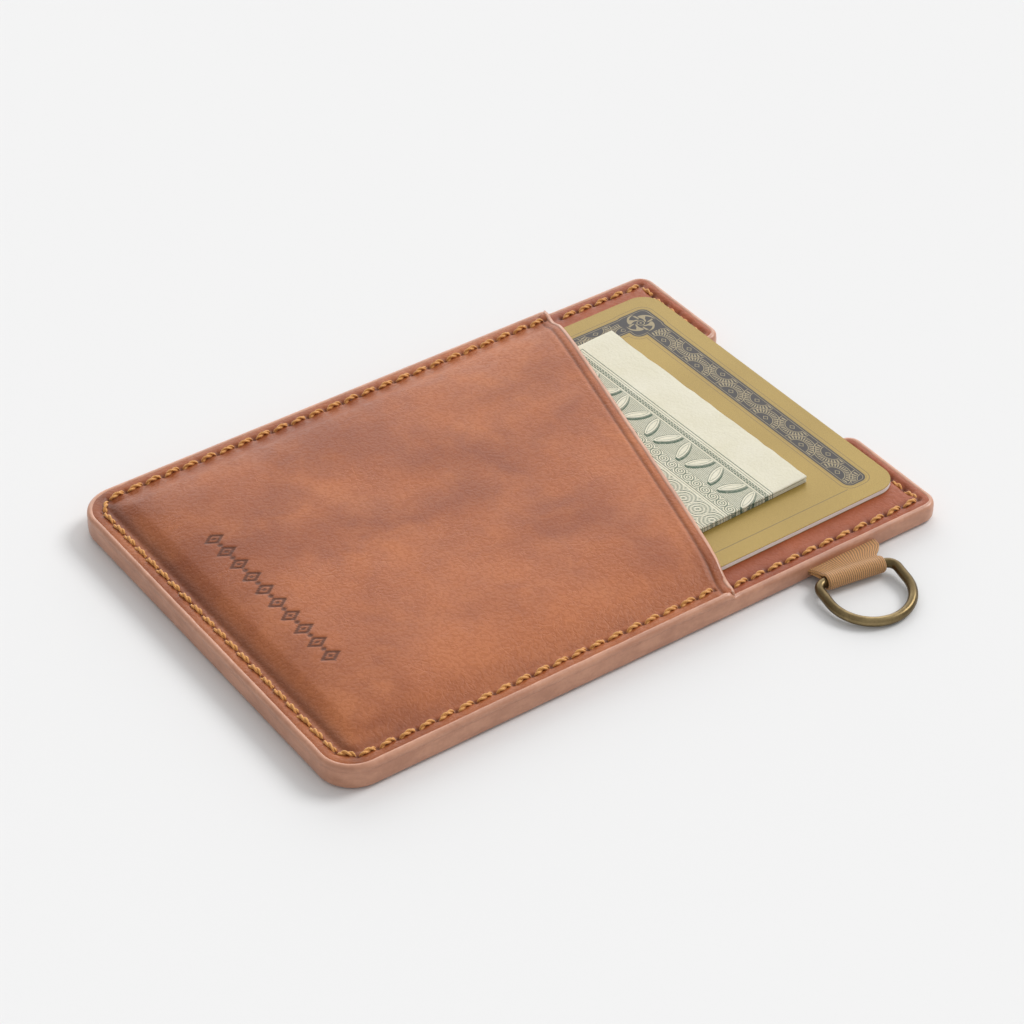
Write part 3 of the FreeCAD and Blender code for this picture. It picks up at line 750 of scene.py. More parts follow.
def ring_line():
    """Middle line of the D-ring in its own plane, from the bar's middle round to it again."""
    half, corner, leg = RING_HALF, RING_CORNER, RING_DEPTH - RING_HALF
    turn = np.radians(np.linspace(0, 90, 9))
    parts = [[(0.0, y) for y in np.linspace(0, -half + corner, 8)[:-1]]]
    parts.append([(corner * (1 - math.cos(a)), -half + corner - corner * math.sin(a)) for a in turn[:-1]])
    parts.append([(x, -half) for x in np.linspace(corner, leg, 6)[:-1]])
    bow = np.radians(np.linspace(-90, 90, 61))
    parts.append([(leg + half * math.cos(a), half * math.sin(a)) for a in bow])
    lower = [point for part in parts[:3] for point in part]
    upper = [(x, -y) for x, y in lower[:0:-1]]
    return np.array(lower + parts[3] + upper)


def make_ring(material):
    line = ring_line()
    count, sides = len(line), 28
    droop = Matrix.Rotation(RING_DROOP, 3, "Y")
    points = []
    for index in range(count):
        along = line[(index + 1) % count] - line[index - 1]
        out = Vector((along[1], -along[0], 0)).normalized()
        middle = Vector((*line[index], 0))
        for k in range(sides):
            around = 2 * math.pi * k / sides
            spot = middle + WIRE_RADIUS * (out * math.cos(around) + Vector((0, 0, math.sin(around))))
            reach, across, rise = droop @ spot
            points.append(tab_point(BAR_REACH + reach, across, rise))
    faces = grid_faces(count, sides, wrap_rows=True, wrap_columns=True)
    return add_piece("d_ring_wire", points, faces, material, "ring", ["d_ring"])


# --- Card --------------------------------------------------------------------------------------------


def turned(plan, middle, turn):
    """Points of a piece's own plan frame, in the row frame."""
    x, y = np.asarray(plan, float).T
    cos, sin = math.cos(turn), math.sin(turn)
    return np.column_stack([middle[0] + x * cos - y * sin, middle[1] + x * sin + y * cos])


def rounded_plan(half_width, half_length, radius, steps=14):
    corners = [(1, -1, -90), (1, 1, 0), (-1, 1, 90), (-1, -1, 180)]
    plan = []
    for side, end, first in corners:
        for angle in np.radians(np.linspace(first, first + 90, steps)):
            plan.append((
                side * (half_width - radius) + radius * math.cos(angle),
                end * (half_length - radius) + radius * math.sin(angle),
            ))
    return plan


def make_card_layer(name, node, material, bevel, drop=0.0):
    """One full-size layer of the card, with softened edges where `bevel` says (low, top).

    `drop` lowers its top, so that the chip, which is flush with it in the CAD, stays in sight.
    """
    low, top = box_mm(node)[0].z, box_mm(node)[1].z - drop
    levels = [(low, bevel[0])] + [(low + bevel[0], 0.0)] * (bevel[0] > 0)
    levels += [(top - bevel[1], 0.0)] * (bevel[1] > 0) + [(top, bevel[1])]
    points, plans = [], []
    for level, inset in levels:
        plan = rounded_plan(CARD_HALF_WIDTH - inset, CARD_HALF_LENGTH - inset, CARD_CORNER - inset)
        plans += plan
        points += [(x, y, level) for x, y in turned(plan, CARD_MIDDLE, CARD_TURN)]
    size = len(points) // len(levels)
    faces = grid_faces(len(levels), size, wrap_columns=True)
    faces += [tuple(range(size))[::-1], tuple((len(levels) - 1) * size + k for k in range(size))]
    layer = add_piece(name, points, faces, material, "card", [node])
    sharpen(layer, 35)
    set_attribute(layer, "plan", [(x, y, 0) for x, y in plans])
    return layer


# --- Banknote ----------------------------------------------------------------------------------------


def note_section():
    """Middle line of the sheet folded in four, seen along its length, as (x, z, direction)."""
    outer, inner = 1.5 * NOTE_PITCH, 0.5 * NOTE_PITCH
    half = NOTE_HALF_WIDTH
    far = -half + outer + NOTE_PAPER / 2
    near = half - inner - NOTE_PAPER / 2
    line = []

    def straight(start, end, level, count=26):
        heading = 0.0 if end > start else math.pi
        line.extend((x, level, heading) for x in np.linspace(start, end, count))

    def fold(x, level, radius, side, up):
        for share in np.linspace(0, 1, 9)[1:-1]:
            angle = math.pi * share
            rise = radius * (1 - math.cos(angle)) * (1 if up else -1)
            sway = radius * math.sin(angle) * side
            heading = math.pi - angle if side < 0 else angle
            line.append((x + sway, level + rise, heading if up else -heading))

    base = NOTE_PAPER / 2
    straight(half, far, base)
    fold(far, base, outer, -1, True)
    straight(far, near, base + 3 * NOTE_PITCH)
    fold(near, base + 3 * NOTE_PITCH, inner, 1, False)
    straight(near, far, base + 2 * NOTE_PITCH)
    fold(far, base + 2 * NOTE_PITCH, inner, -1, False)
    straight(far, half, base + NOTE_PITCH)
    return np.array(line)


def make_note(material):
    """The folded sheet, with a torn-soft end and a slight lift of its free corners."""
    line = note_section()
    base = box_mm("banknote")[0].z
    along = spaced((-NOTE_HALF_LENGTH, 0, 4.0), (0, 28, 1.2), (28, NOTE_HALF_LENGTH, 0.5))
    size = 2 * len(line)
    points, plans = [], []
    reach = np.concatenate([[0], np.cumsum(np.hypot(*np.diff(line[:, :2], axis=0).T))])
    for y in along:
        end = smooth_step(NOTE_HALF_LENGTH - 6, NOTE_HALF_LENGTH, y)
        for face, order in ((1, range(len(line))), (-1, range(len(line) - 1, -1, -1))):
            for k in order:
                x, z, heading = line[k]
                out = face * NOTE_PAPER / 2
                px = x + out * -math.sin(heading)
                pz = z + out * math.cos(heading)
                ragged = 0.22 * noise.noise(Vector((reach[k] * 0.9, 3.0, 0.0)))
                ragged += 0.10 * noise.noise(Vector((reach[k] * 3.1, 8.0, 0.0)))
                lift = 0.10 * end * (z / (3 * NOTE_PITCH)) * (1 + noise.noise(Vector((px * 0.12, 0.0, 4.0))))
                py = y + ragged * end
                points.append((px, py, base + pz + lift))
                plans.append((px, NOTE_HALF_LENGTH - py, z))
    faces = grid_faces(len(along), size, wrap_columns=True)
    last = (len(along) - 1) * size
    count = len(line)
    for start, flip in ((0, False), (last, True)):
        for k in range(count - 1):
            quad = (start + k, start + k + 1, start + size - 2 - k, start + size - 1 - k)
            faces.append(quad[::-1] if flip else quad)
    points = np.array(points)
    points[:, :2] = turned(points[:, :2], NOTE_MIDDLE, NOTE_TURN)
    note = add_piece("banknote_sheet", points, faces, material, "note", ["banknote"])
    sharpen(note, 50)
    set_attribute(note, "plan", plans)
    return note


# --- Material helpers --------------------------------------------------------------------------------


def add_node(tree, kind, inputs, **settings):
    """A shader node with its settings; each input is given a value, or linked to a field or a socket."""
    node = tree.nodes.new("ShaderNode" + kind)
    for key, value in settings.items():
        setattr(node, key, value)
    for key, item in inputs.items():
        source = item.socket if isinstance(item, Field) else item
        if isinstance(source, bpy.types.NodeSocket):
            tree.links.new(source, node.inputs[key])
        else:
            node.inputs[key].default_value = source
    return node


class Field:
    """A number that varies over a surface; arithmetic on it adds math nodes to its material."""

    def __init__(self, tree, socket):
        self.tree = tree
        self.socket = socket

    def math(self, operation, *others):
        node = add_node(self.tree, "Math", dict(enumerate((self, *others))), operation=operation)
        return Field(self.tree, node.outputs[0])

    def __add__(self, other):
        return self.math("ADD", other)

    def __sub__(self, other):
        return self.math("SUBTRACT", other)

    def __mul__(self, other):
        return self.math("MULTIPLY", other)

    def __truediv__(self, other):
        return self.math("DIVIDE", other)

    def __abs__(self):
        return self.math("ABSOLUTE")

    def low(self, other):
        return self.math("MINIMUM", other)

    def high(self, other):
        return self.math("MAXIMUM", other)

    def flipped(self):
        """One minus the field."""
        return self.math("MULTIPLY", -1.0) + 1.0

    def sine(self):
        return self.math("SINE")

    def ramp(self, low, high):
        """0 below `low`, 1 above `high`, smooth between."""
        inputs = {"Value": self, "From Min": low, "From Max": high}
        node = add_node(self.tree, "MapRange", inputs, interpolation_type="SMOOTHSTEP")
        return Field(self.tree, node.outputs["Result"])

    def line(self, width):
        """1 on the field's zero line, 0 past half a width away."""
        return abs(self).ramp(width * 0.5, width * 0.25)

    def repeat(self, period):
        """The field wrapped to half a period either side of zero."""
        return self.math("WRAP", period / 2, -period / 2)

    def with_hypot(self, other):
        return (self * self + other * other).math("SQRT")


class Surface:
    """A material with one Principled shader and the helpers that its recipe needs."""

    def __init__(self, name):
        self.material = bpy.data.materials.new(name)
        self.material.use_nodes = True
        self.tree = self.material.node_tree
        self.shader = self.tree.nodes["Principled BSDF"]
        coordinate = self.add("TexCoord", {})
        scale = self.add("VectorMath", {0: coordinate.outputs["Object"], "Scale": 1 / MM}, operation="SCALE")
        self.place = scale.outputs[0]

    def add(self, kind, inputs, **settings):
        return add_node(self.tree, kind, inputs, **settings)

    def attribute(self, name, vector=False):
        node = self.add("Attribute", {}, attribute_name=name)
        return node.outputs["Vector"] if vector else Field(self.tree, node.outputs["Fac"])

    def axes(self, socket):
        return [Field(self.tree, output) for output in self.add("SeparateXYZ", {0: socket}).outputs]

    def stretched(self, scale):
        """The surface's own coordinates, scaled along each axis."""
        return self.add("VectorMath", {0: self.place, 1: scale}, operation="MULTIPLY").outputs[0]

    def noise(self, size, detail=2.0, rough=0.5, warp=0.0, socket=None):
        """Noise with features about `size` millimetres across."""
        inputs = {"Scale": 1 / size, "Detail": detail, "Roughness": rough, "Distortion": warp}
        node = self.add("TexNoise", {**inputs, "Vector": socket or self.place})
        return Field(self.tree, node.outputs["Fac"])

    def cells(self, size, feature, warp):
        """Cell noise with cells about `size` millimetres across, shifted by the `warp` field."""
        offset = self.add("CombineXYZ", {axis: warp for axis in range(3)}).outputs[0]
        shifted = self.add("VectorMath", {0: self.place, 1: offset}, operation="ADD").outputs[0]
        node = self.add("TexVoronoi", {"Scale": 1 / size, "Vector": shifted}, feature=feature)
        return Field(self.tree, node.outputs["Distance"])

    def blend(self, share, first, second):
        """Colour between two colours or colour sockets."""
        node = self.tree.nodes.new("ShaderNodeMix")
        node.data_type = "RGBA"
        self.tree.links.new(share.socket, node.inputs["Factor"])
        for key, item in (("A", first), ("B", second)):
            socket = [s for s in node.inputs if s.name == key and s.type == "RGBA"][0]
            if isinstance(item, tuple):
                socket.default_value = (*item, 1.0)
            else:
                self.tree.links.new(item, socket)
        return [s for s in node.outputs if s.type == "RGBA"][0]

    def colour(self, socket):
        self.tree.links.new(socket, self.shader.inputs["Base Color"])

    def rough(self, field, low, high):
        node = self.add("MapRange", {"Value": field, "To Min": low, "To Max": high})
        self.tree.links.new(node.outputs["Result"], self.shader.inputs["Roughness"])

    def bump(self, height, depth):
        """Relief whose full swing is `depth` millimetres."""
        node = self.add("Bump", {"Distance": depth * MM, "Strength": 1.0, "Height": height})
        self.tree.links.new(node.outputs["Normal"], self.shader.inputs["Normal"])

    def set(self, **values):
        for key, setting in values.items():
            self.shader.inputs[key.replace("_", " ")].default_value = setting
        return self.material


# --- Materials ---------------------------------------------------------------------------------------


def leather(name, dark, middle, light, grain=1.0, mottle=1.0):
    """Waxed pull-up leather: cloudy colour, a fine pebbled grain, a few pale creases, and painted shade read
    from a per-point attribute.
    """
    s = Surface(name)
    clouds = s.noise(17.0, 3.0, 0.5, 0.5)
    patches = s.noise(5.0, 3.0, 0.55, 0.6)
    streaks = s.noise(8.0, 2.0, 0.5, 0.3, s.stretched((1.0, 0.45, 1.0)))
    speckle = s.noise(0.3, 2.0, 0.6)
    tone = clouds * (0.60 * mottle) + patches * (0.26 * mottle) + streaks * 0.18 + speckle * 0.10
    mean = 0.5 * (0.86 * mottle + 0.28)
    base = s.blend((tone - (mean - 0.14)).ramp(0.0, 0.32), dark, light)
    base = s.blend(s.noise(9.0, 2.0).ramp(0.35, 0.65) * 0.40, base, middle)

    warp = s.noise(0.7, 2.0, 0.5) * 0.7
    pebble = s.cells(0.40, "SMOOTH_F1", warp)
    fine = s.noise(0.16, 2.0, 0.6)
    vein = s.cells(1.5, "DISTANCE_TO_EDGE", s.noise(1.1, 3.0, 0.6) * 2.2)
    shown = s.noise(9.0, 1.0).ramp(0.48, 0.66)
    crease = vein.ramp(0.07, 0.0) * shown
    base = s.blend(crease * 0.30, base, light)
    pore = pebble.ramp(0.30, 0.62)
    base = s.blend(pore * (0.22 * grain), base, dark)
    base = s.blend(fine.ramp(0.52, 0.72) * (0.20 * grain), base, light)

    painted_shade = s.attribute("painted_shade")
    mark = s.attribute("mark")
    # Painted shade: darkens the colour at needle holes, seam grooves, valleys and the mouth crease.
    base = s.blend(painted_shade * 0.70, base, tuple(0.30 * part for part in dark))
    base = s.blend(mark.ramp(0.05, 0.6) * 0.86, base, tuple(0.33 * part for part in dark))
    s.colour(base)
    s.rough(patches + pore * 0.35, 0.36, 0.60)
    height = pore * -0.5 + fine * 0.4 + crease * -0.5 + s.noise(1.6, 2.0) * 0.6
    s.bump(height, 0.036 * grain)
    return s.set(Specular_IOR_Level=0.45)


def edge_paint(name):
    """Semi-gloss edge paint: pinkish brown, slightly uneven, a little worn to a paler tone."""
    s = Surface(name)
    uneven = s.noise(5.0, 3.0, 0.6, 0.3, s.stretched((1.0, 1.0, 2.5)))
    fine = s.noise(0.5, 2.0, 0.5)
    base = s.blend((uneven + fine * 0.25 - 0.12).ramp(0.3, 0.75), (0.43, 0.195, 0.115), (0.56, 0.275, 0.170))
    s.colour(base)
    s.rough(fine, 0.30, 0.48)
    s.bump(uneven * 0.6 + fine * 0.4, 0.05)
    return s.set(Specular_IOR_Level=0.5, Coat_Weight=0.25, Coat_Roughness=0.25)


def thread(name):
    """Twisted polyester thread, golden tan, with fibres along each ply."""
    s = Surface(name)
    tint = s.attribute("tint")
    fibre = s.noise(0.09, 2.0, 0.6, 0.0, s.stretched((1.0, 1.0, 0.5)))
    base = s.blend(fibre.ramp(0.3, 0.7), (0.54, 0.23, 0.055), (0.84, 0.43, 0.13))
    base = s.blend(tint * 0.3, base, (0.66, 0.29, 0.075))
    s.colour(base)
    s.rough(fibre, 0.45, 0.7)
    s.bump(fibre, 0.04)
    return s.set(Sheen_Weight=0.3, Sheen_Roughness=0.4, Specular_IOR_Level=0.4)


def grosgrain(name):
    """Ribbed webbing: ribs run round the bar, weft picks cross them."""
    s = Surface(name)
    across, along, _ = s.axes(s.attribute("weave", vector=True))
    rib = (across * (2 * math.pi / RIB_PITCH)).math("COSINE")
    turn = (across * (math.pi / RIB_PITCH)).math("FLOOR") * math.pi
    pick = (along * (2 * math.pi / PICK_PITCH) + turn).sine()
    fibre = s.noise(0.12, 2.0, 0.6)
    # Painted highlight and shade on the ribs and picks, mixed with random fibre tone.
    weave_shading_and_fibre = rib * 0.24 + pick * 0.20 + fibre * 0.7
    base = s.blend(weave_shading_and_fibre.ramp(-0.1, 0.75), (0.20, 0.078, 0.020), (0.80, 0.42, 0.15))
    s.colour(base)
    s.rough(fibre, 0.42, 0.62)
    s.bump(rib * 0.3 + pick * 0.5 + fibre * 0.4, 0.07)
    return s.set(Sheen_Weight=0.15, Sheen_Roughness=0.35, Specular_IOR_Level=0.6)


def antique_brass(name):
    """Dark brushed-on patina over brass, rubbed brighter in places."""
    s = Surface(name)
    rubbed = s.noise(6.0, 2.0, 0.5, 0.3)
    fine = s.noise(0.25, 2.0, 0.6)
    share = (rubbed + fine * 0.25 - 0.12).ramp(0.3, 0.75)
    s.colour(s.blend(share, (0.13, 0.094, 0.045), (0.36, 0.27, 0.135)))
    s.rough(fine * 0.6 + rubbed * 0.4, 0.24, 0.42)
    s.bump(fine, 0.012)
    return s.set(Metallic=1.0)


def plain_board(name, dark, light, size, low, high):
    """Matt or satin sheet stock with faint fibres or flow marks."""
    s = Surface(name)
    fibre = s.noise(size, 3.0, 0.6, 0.0, s.stretched((1.0, 0.3, 1.0)))
    s.colour(s.blend(fibre.ramp(0.3, 0.7), dark, light))
    s.rough(fibre, low, high)
    s.bump(fibre, 0.01)
    return s.set(Specular_IOR_Level=0.4)


def rounded_box(x, y, half_x, half_y, radius):
    """Signed distance to a round-cornered rectangle about the fields' origin."""
    over_x = abs(x) - (half_x - radius)
    over_y = abs(y) - (half_y - radius)
    outside = over_x.high(0.0).with_hypot(over_y.high(0.0))
    return outside + over_x.high(over_y).low(0.0) - radius


def fans(along, across, half, period):
    """Line ornament for a narrow band: hatched fans from its two sides in turn, each over a small lozenge."""
    lines = None
    for hand, shift in ((1.0, 0.0), (-1.0, period / 2)):
        cell = (along + shift).repeat(period)
        up = across * hand + half
        ring = (cell * 0.80).with_hypot(up)
        angle = up.math("ARCTAN2", cell)
        rays = (angle * 30.0).sine().ramp(-0.3, 0.3)
        hatch = rays * (ring - half * 1.02).ramp(0.0, 0.08) * (ring - half * 1.5).ramp(0.0, -0.08)
        arcs = (ring - half * 0.95).line(0.13).high((ring - half * 1.62).line(0.13))
        crown = (abs(cell) * 0.8 + abs(up - half * 0.42) - half * 0.26).line(0.15)
        part = hatch.high(arcs).high(crown)
        lines = part if lines is None else lines.high(part)
    return lines


def scroll_rosette(x, y, size):
    """A round ornament of four curling arms about a ringed dot."""
    ring = x.with_hypot(y)
    angle = y.math("ARCTAN2", x)
    arms = (angle * 4.0 + (ring / size * 7.5).sine() * 2.2).sine().ramp(0.25, 0.75)
    arms = arms * (ring - size * 0.28).ramp(0.0, 0.1) * (ring - size * 0.95).ramp(0.0, -0.1)
    curls = (angle * 8.0 - ring / size * 5.0).sine().ramp(0.5, 0.9) * (ring - size * 0.6).line(size * 0.5)
    return arms.high(curls).high((ring - size * 0.22).line(0.16)).high(ring.ramp(0.2, 0.1))


def card_print(name):
    """Gold card face: a dark ornamental band round two sides, thin rules, and satin metallic ground."""
    s = Surface(name)
    x, y, _ = s.axes(s.attribute("plan", vector=True))
    margin, half_band, corner = 2.95, 1.75, 2.7
    side = CARD_HALF_WIDTH - margin
    head_y = y - (CARD_HALF_LENGTH - margin - half_band)
    flank_x = x + (side - half_band)
    head = rounded_box(x, head_y, side, half_band, 1.1)
    flank = rounded_box(flank_x, head_y + 40.0, half_band, 41.0, 1.1)
    corner_x = x + (side - corner + 0.15)
    corner_y = y - (CARD_HALF_LENGTH - margin - corner + 0.15)
    boss = rounded_box(corner_x, corner_y, corner, corner, 1.2)
    shape = head.low(flank).low(boss)
    dark = shape.ramp(0.04, -0.04)
    rule = (shape + 0.30).line(0.10)
    inner_rule = (shape - 0.55).line(0.16)
    outer_rule = (shape - 0.16).line(0.07)
    lines = fans(x + 1.5, head_y, half_band - 0.42, 7.4) * (head + 0.42).ramp(0.0, -0.06)
    lines = lines.high(fans(y - 1.0, flank_x, half_band - 0.42, 7.4) * (flank + 0.42).ramp(0.0, -0.06))
    lines = (lines * boss.ramp(-0.05, 0.05)).high(scroll_rosette(corner_x, corner_y, corner - 0.3))
    thin_rule = (x - (side + 0.3)).line(0.15) * head_y.ramp(-half_band - 0.3, -half_band - 0.4)

    flecks = s.noise(0.10, 2.0, 0.7)
    cloud = s.noise(14.0, 1.0, 0.5)
    gold = s.blend((cloud * 0.2 + flecks * 0.8).ramp(0.25, 0.75), (0.23, 0.150, 0.030), (0.40, 0.275, 0.070))
    ink = s.blend(flecks, (0.022, 0.019, 0.019), (0.052, 0.046, 0.043))
    base = s.blend(dark, gold, ink)
    base = s.blend(lines.high(rule) * dark * 0.62, base, (0.42, 0.34, 0.19))
    base = s.blend(outer_rule.high(inner_rule) * dark.flipped() * 0.75, base, (0.14, 0.10, 0.045))
    base = s.blend(thin_rule * 0.85, base, (0.12, 0.09, 0.045))
    s.colour(base)
    s.rough(flecks + dark * 0.15, 0.34, 0.50)
    s.bump(flecks, 0.006)
    return s.set(Metallic=0.35, Specular_IOR_Level=0.4, Coat_Weight=0.08, Coat_Roughness=0.25)


def note_print(name):
    """Cotton paper with a blank strip, then engraved rules, lace borders and a band of slanted leaves."""
    s = Surface(name)
    plan = s.attribute("plan", vector=True)
    x, down, _ = s.axes(plan)
    edge = NOTE_HALF_WIDTH

    def band(start, end, soft=0.05):
        return (down - start).ramp(-soft, soft) * (down - end).ramp(soft, -soft)

    def leaves(shift_x, shift_down):
        """Distance outside a row of pale almond shapes that lean left and right in turn."""
        parts = []
        for lean, offset in ((0.42, 0.0), (-0.42, 3.3)):
            row = down - (9.15 + shift_down)
            cell = (x + offset - shift_x - row * lean).repeat(6.6)
            half = (row * row) * -0.17 + 0.86
            parts.append(abs(cell) - half)
        return parts[0].low(parts[1])

    hatch = (down * (2 * math.pi / 0.25) + s.noise(1.5, 2.0, 0.5, 0.0, plan) * 6.0).sine()
    cross = ((x + down * 0.6) * (2 * math.pi / 0.29)).sine()
    lace = (hatch.ramp(-0.2, 0.5) * 0.7 + cross.ramp(0.0, 0.8) * 0.5).low(1.0)
    leaf = leaves(0.0, 0.0)
    leaf_body = leaf.ramp(0.03, -0.03) * band(7.45, 10.85)
    leaf_shadow = leaves(0.42, 0.32).ramp(0.03, -0.03) * band(7.5, 11.25)
    leaf_line = (leaf + 0.1).line(0.16).high((leaf + 0.48).line(0.08)) * band(7.45, 10.85)

    beads = (x.repeat(0.62).with_hypot(down - 6.75) - 0.2).line(0.13)
    rings = (x + 0.4).repeat(1.7).with_hypot((down - 12.3) * 1.2)
    rosettes = (rings * (2 * math.pi / 0.36)).sine().ramp(-0.1, 0.5)
    petals = x.repeat(2.9).with_hypot(down - 15.6)
    petals = (petals * (2 * math.pi / 0.5) + cross * 1.5).sine().ramp(-0.2, 0.5)

    ink = band(7.25, 11.3) * lace * 0.8
    ink = ink.high(leaf_shadow * 0.95)
    ink = (ink * leaf_body.flipped()).high(leaf_line * 0.9)
    ink = ink.high(band(6.45, 7.1) * beads.flipped() * 0.92)
    ink = ink.high(band(11.55, 13.1) * rosettes * 0.85)
    ink = ink.high(band(13.9, 17.3) * petals * 0.75)
    ink = ink.high(band(17.7, 70.0) * lace * 0.6)
    for rule, width in ((5.75, 0.15), (6.15, 0.09), (11.42, 0.12), (13.25, 0.15), (13.6, 0.08), (17.5, 0.12)):
        ink = ink.high((down - rule).line(width))
    ink = ink.high((x + (edge - 1.2)).line(0.15) * band(5.75, 70.0))
    ink = ink * (x + (edge - 1.2)).ramp(-0.1, 0.0)

    fibre = s.noise(0.35, 3.0, 0.65)
    cloud = s.noise(5.0, 1.0, 0.5)
    paper = s.blend((cloud * 0.35 + fibre * 0.5).ramp(0.2, 0.65), (0.67, 0.63, 0.48), (0.745, 0.71, 0.585))
    green = s.blend(s.noise(0.8, 2.0), (0.028, 0.070, 0.044), (0.060, 0.112, 0.076))
    worn = s.noise(0.22, 2.0, 0.6).ramp(0.2, 0.62)
    s.colour(s.blend(ink * (worn * 0.25 + 0.75), paper, green))
    s.rough(fibre, 0.72, 0.9)
    wrinkle = s.noise(1.6, 3.0, 0.6, 0.8)
    s.bump(fibre * 0.45 + wrinkle * 0.7 + ink * 0.15, 0.10)
    return s.set(Specular_IOR_Level=0.25, Sheen_Weight=0.05)


def chip_contacts(name):
    """Gold-plated contact pads parted by fine grooves."""
    s = Surface(name)
    x, y, _ = s.axes(s.place)
    low, high = box_mm("card_chip")
    middle = (low + high) / 2
    right, up = x - middle.x, y - middle.y
    groove = abs(right).repeat(3.4).line(0.35).high(up.repeat(3.2).line(0.35))
    wear = s.noise(1.2, 2.0)
    s.colour(s.blend(groove, s.blend(wear, (0.66, 0.47, 0.17), (0.82, 0.64, 0.30)), (0.10, 0.075, 0.04)))
    s.rough(wear, 0.22, 0.4)
    s.bump(groove * -1.0, 0.03)
    return s.set(Metallic=0.9)


def floor_material():
    s = Surface("studio_floor")
    tone = s.noise(60.0, 1.0)
    s.colour(s.blend(tone, (0.790, 0.790, 0.790), (0.794, 0.794, 0.794)))
    return s.set(Roughness=1.0, Specular_IOR_Level=0.0)


# --- Studio ------------------------------------------------------------------------------------------

CAMERA_TARGET = Vector((-1.09, 1.53, 0.0)) * MM
CAMERA_DISTANCE = 419.1 * MM
CAMERA_AZIMUTH = math.radians(55.36)
CAMERA_ELEVATION = math.radians(38.45)
CAMERA_ROLL = math.radians(-0.49)
KEY_DIRECTION = Vector((0.06, 0.74, 0.66)).normalized()
KEY_STRENGTH = 1.6
SKY_STRENGTH = 0.52
# Brighter parts of the sky: where they are, how far they reach in degrees, and how bright they get
SKY_LOBES = (
    ((0.2, 0.55, 0.8), 110, 0.12),
    ((-0.78, 0.52, 0.30), 48, 2.0),
)


def make_camera():
    sin_a, cos_a = math.sin(CAMERA_AZIMUTH), math.cos(CAMERA_AZIMUTH)
    sin_e, cos_e = math.sin(CAMERA_ELEVATION), math.cos(CAMERA_ELEVATION)
    back = Vector((sin_a * cos_e, -cos_a * cos_e, sin_e))
    right = Vector((cos_a, sin_a, 0.0))
    up = back.cross(right)
    tilted_right = right * math.cos(CAMERA_ROLL) + up * math.sin(CAMERA_ROLL)
    tilted_up = up * math.cos(CAMERA_ROLL) - right * math.sin(CAMERA_ROLL)
    data = bpy.data.cameras.new("camera")
    data.sensor_width = 36.0
    data.lens = 112.5
    data.clip_start = 0.01
    camera = bpy.data.objects.new("camera", data)
    bpy.context.scene.collection.objects.link(camera)
    turn = Matrix((tilted_right, tilted_up, back)).transposed().to_4x4()
    camera.matrix_world = Matrix.Translation(CAMERA_TARGET + back * CAMERA_DISTANCE) @ turn
    bpy.context.scene.camera = camera


def make_studio():
    """Pale floor, an even sky that is a little brighter on the key side, and one broad soft key."""
    half = 2.5 / MM
    level = -0.04
    corners = [(-half, -half, level), (half, -half, level), (half, half, level), (-half, half, level)]
    floor = add_piece("floor", corners, [(0, 1, 2, 3)], floor_material(), None)

    light = bpy.data.lights.new("key", "SUN")
    light.energy = KEY_STRENGTH
    light.angle = math.radians(24)
    key = bpy.data.objects.new("key", light)
    bpy.context.scene.collection.objects.link(key)
    key.rotation_euler = KEY_DIRECTION.to_track_quat("Z", "Y").to_euler()

    world = bpy.data.worlds.new("studio_sky")
    bpy.context.scene.world = world
    world.use_nodes = True
    tree = world.node_tree
    sky = add_node(tree, "TexCoord", {}).outputs["Generated"]
    strength = None
    for direction, width, level in SKY_LOBES:
        inputs = {0: sky, 1: Vector(direction).normalized()}
        dot = add_node(tree, "VectorMath", inputs, operation="DOT_PRODUCT")
        lobe = Field(tree, dot.outputs["Value"]).ramp(math.cos(math.radians(width)), 1.0) * level
        strength = lobe + (strength or SKY_STRENGTH)
    background = tree.nodes["Background"]
    tree.links.new(strength.socket, background.inputs["Strength"])
    background.inputs["Color"].default_value = (1.0, 1.0, 1.0, 1.0)
    bpy.context.scene.view_settings.view_transform = "Standard"


# --- Assembly ----------------------------------------------------------------------------------------


def clad(node, material):
    """Give a carried-over CAD node its material."""
    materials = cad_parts[node].data.materials
    materials.clear()
    materials.append(material)


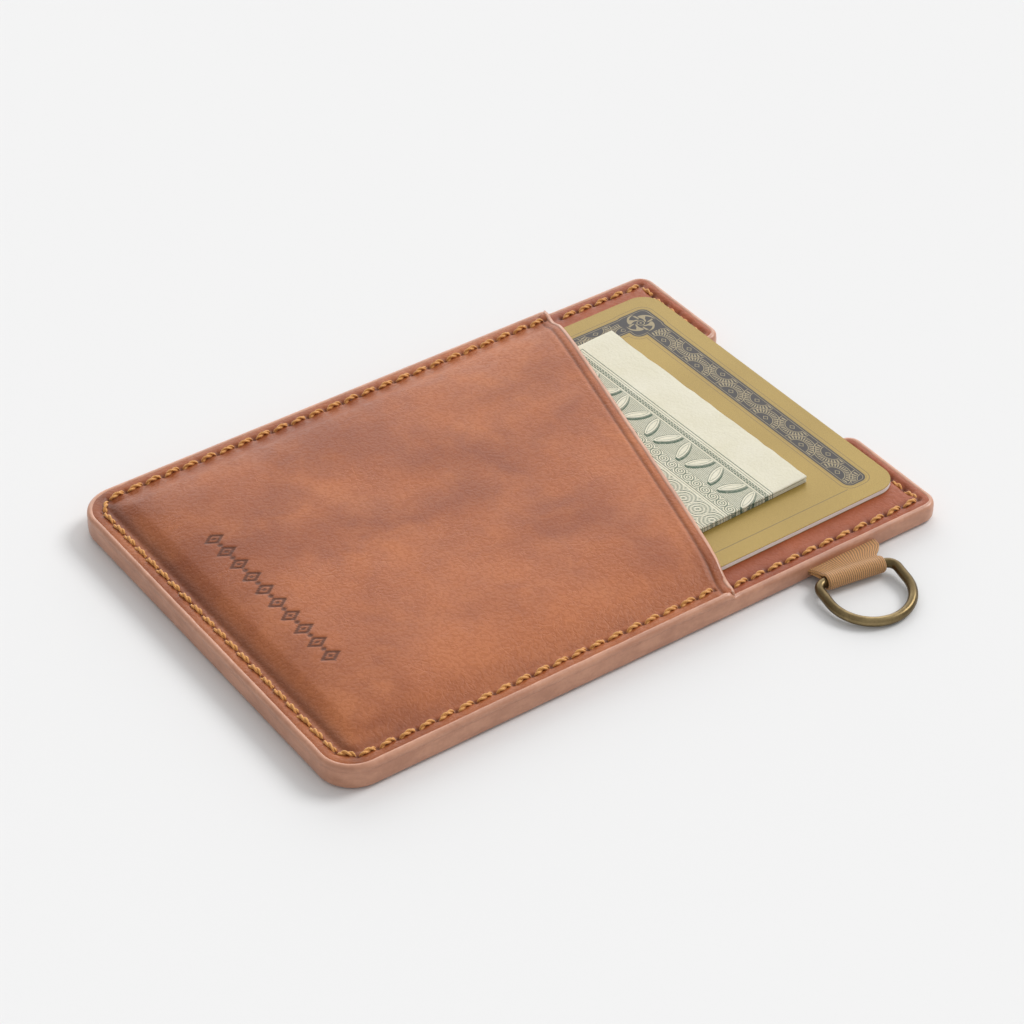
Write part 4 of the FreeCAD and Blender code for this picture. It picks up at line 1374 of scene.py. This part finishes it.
def make_wallet():
    front = leather("cognac_front", (0.25, 0.055, 0.010), (0.37, 0.093, 0.020), (0.47, 0.145, 0.041))
    inner = leather(
        "cognac_divider", (0.24, 0.046, 0.010), (0.34, 0.072, 0.017), (0.41, 0.098, 0.026), 0.9, 0.7,
    )
    outer = leather("cognac_back", (0.24, 0.054, 0.011), (0.35, 0.090, 0.021), (0.44, 0.135, 0.040))
    paint = edge_paint("painted_edge")
    sewing = thread("golden_thread")

    make_front_panel(front)
    divider_columns = spaced((0, 14, 1.0), (14, HALF_WIDTH - LEATHER_INSET, 0.21))
    divider_rows = spaced((-36, 10, 1.6), (10, 42.6, 0.22), (42.6, 45.5, 0.16))
    make_flat_panel(
        "divider_leather", divider_columns, divider_rows, (DIVIDER_LOW, DIVIDER_TOP), True, DIVIDER_STITCHES,
        inner, "divider_panel",
    )
    back_columns = spaced((0, 28, 0.5), (28, HALF_WIDTH - LEATHER_INSET, 0.24))
    back_rows = spaced((-36, 45.5, 0.34))
    make_flat_panel(
        "back_leather", back_columns, back_rows, (0.0, BACK_TOP), False, BACK_STITCHES, outer, "back_panel",
    )
    make_painted_edges(paint)
    make_stitches("stitches_front", FRONT_STITCHES, front_height, 1, sewing, "seam_thread_front", 1.22)
    make_stitches(
        "stitches_divider", DIVIDER_STITCHES, divider_seam_height, 1, sewing,
        "seam_thread_divider", 1.22,
    )
    make_stitches(
        "stitches_back", BACK_STITCHES, lambda x, y: np.full(len(x), BACK_THREAD), -1, sewing,
        "seam_thread_back", 0.85,
    )
    clad("core_board", plain_board("fibre_board", (0.17, 0.11, 0.07), (0.26, 0.18, 0.12), 0.5, 0.7, 0.9))


def make_contents():
    white = plain_board("card_white", (0.86, 0.855, 0.84), (0.91, 0.905, 0.89), 0.8, 0.35, 0.5)
    make_card_layer("card_core_sheet", "card_core", white, (0.0, 0.0))
    gold = card_print("card_gold_print")
    make_card_layer("card_printed_face", "card_face", gold, (0.0, 0.05), CHIP_PROUD)
    for node, name, dark, light, size, low, high in (
        ("card_back_print", "card_reverse", (0.36, 0.28, 0.12), (0.46, 0.37, 0.17), 3.0, 0.3, 0.45),
        ("card_stripe", "magnetic_stripe", (0.018, 0.015, 0.014), (0.03, 0.026, 0.024), 2.0, 0.25, 0.4),
        ("card_signature_strip", "signature_strip", (0.74, 0.74, 0.71), (0.84, 0.84, 0.81), 0.6, 0.6, 0.8),
    ):
        clad(node, plain_board(name, dark, light, size, low, high))
    clad("card_chip", chip_contacts("chip_contacts"))
    make_note(note_print("engraved_paper"))


make_camera()
make_studio()
make_wallet()
make_tab(grosgrain("tab_grosgrain"))
make_ring(antique_brass("antique_brass"))
make_contents()
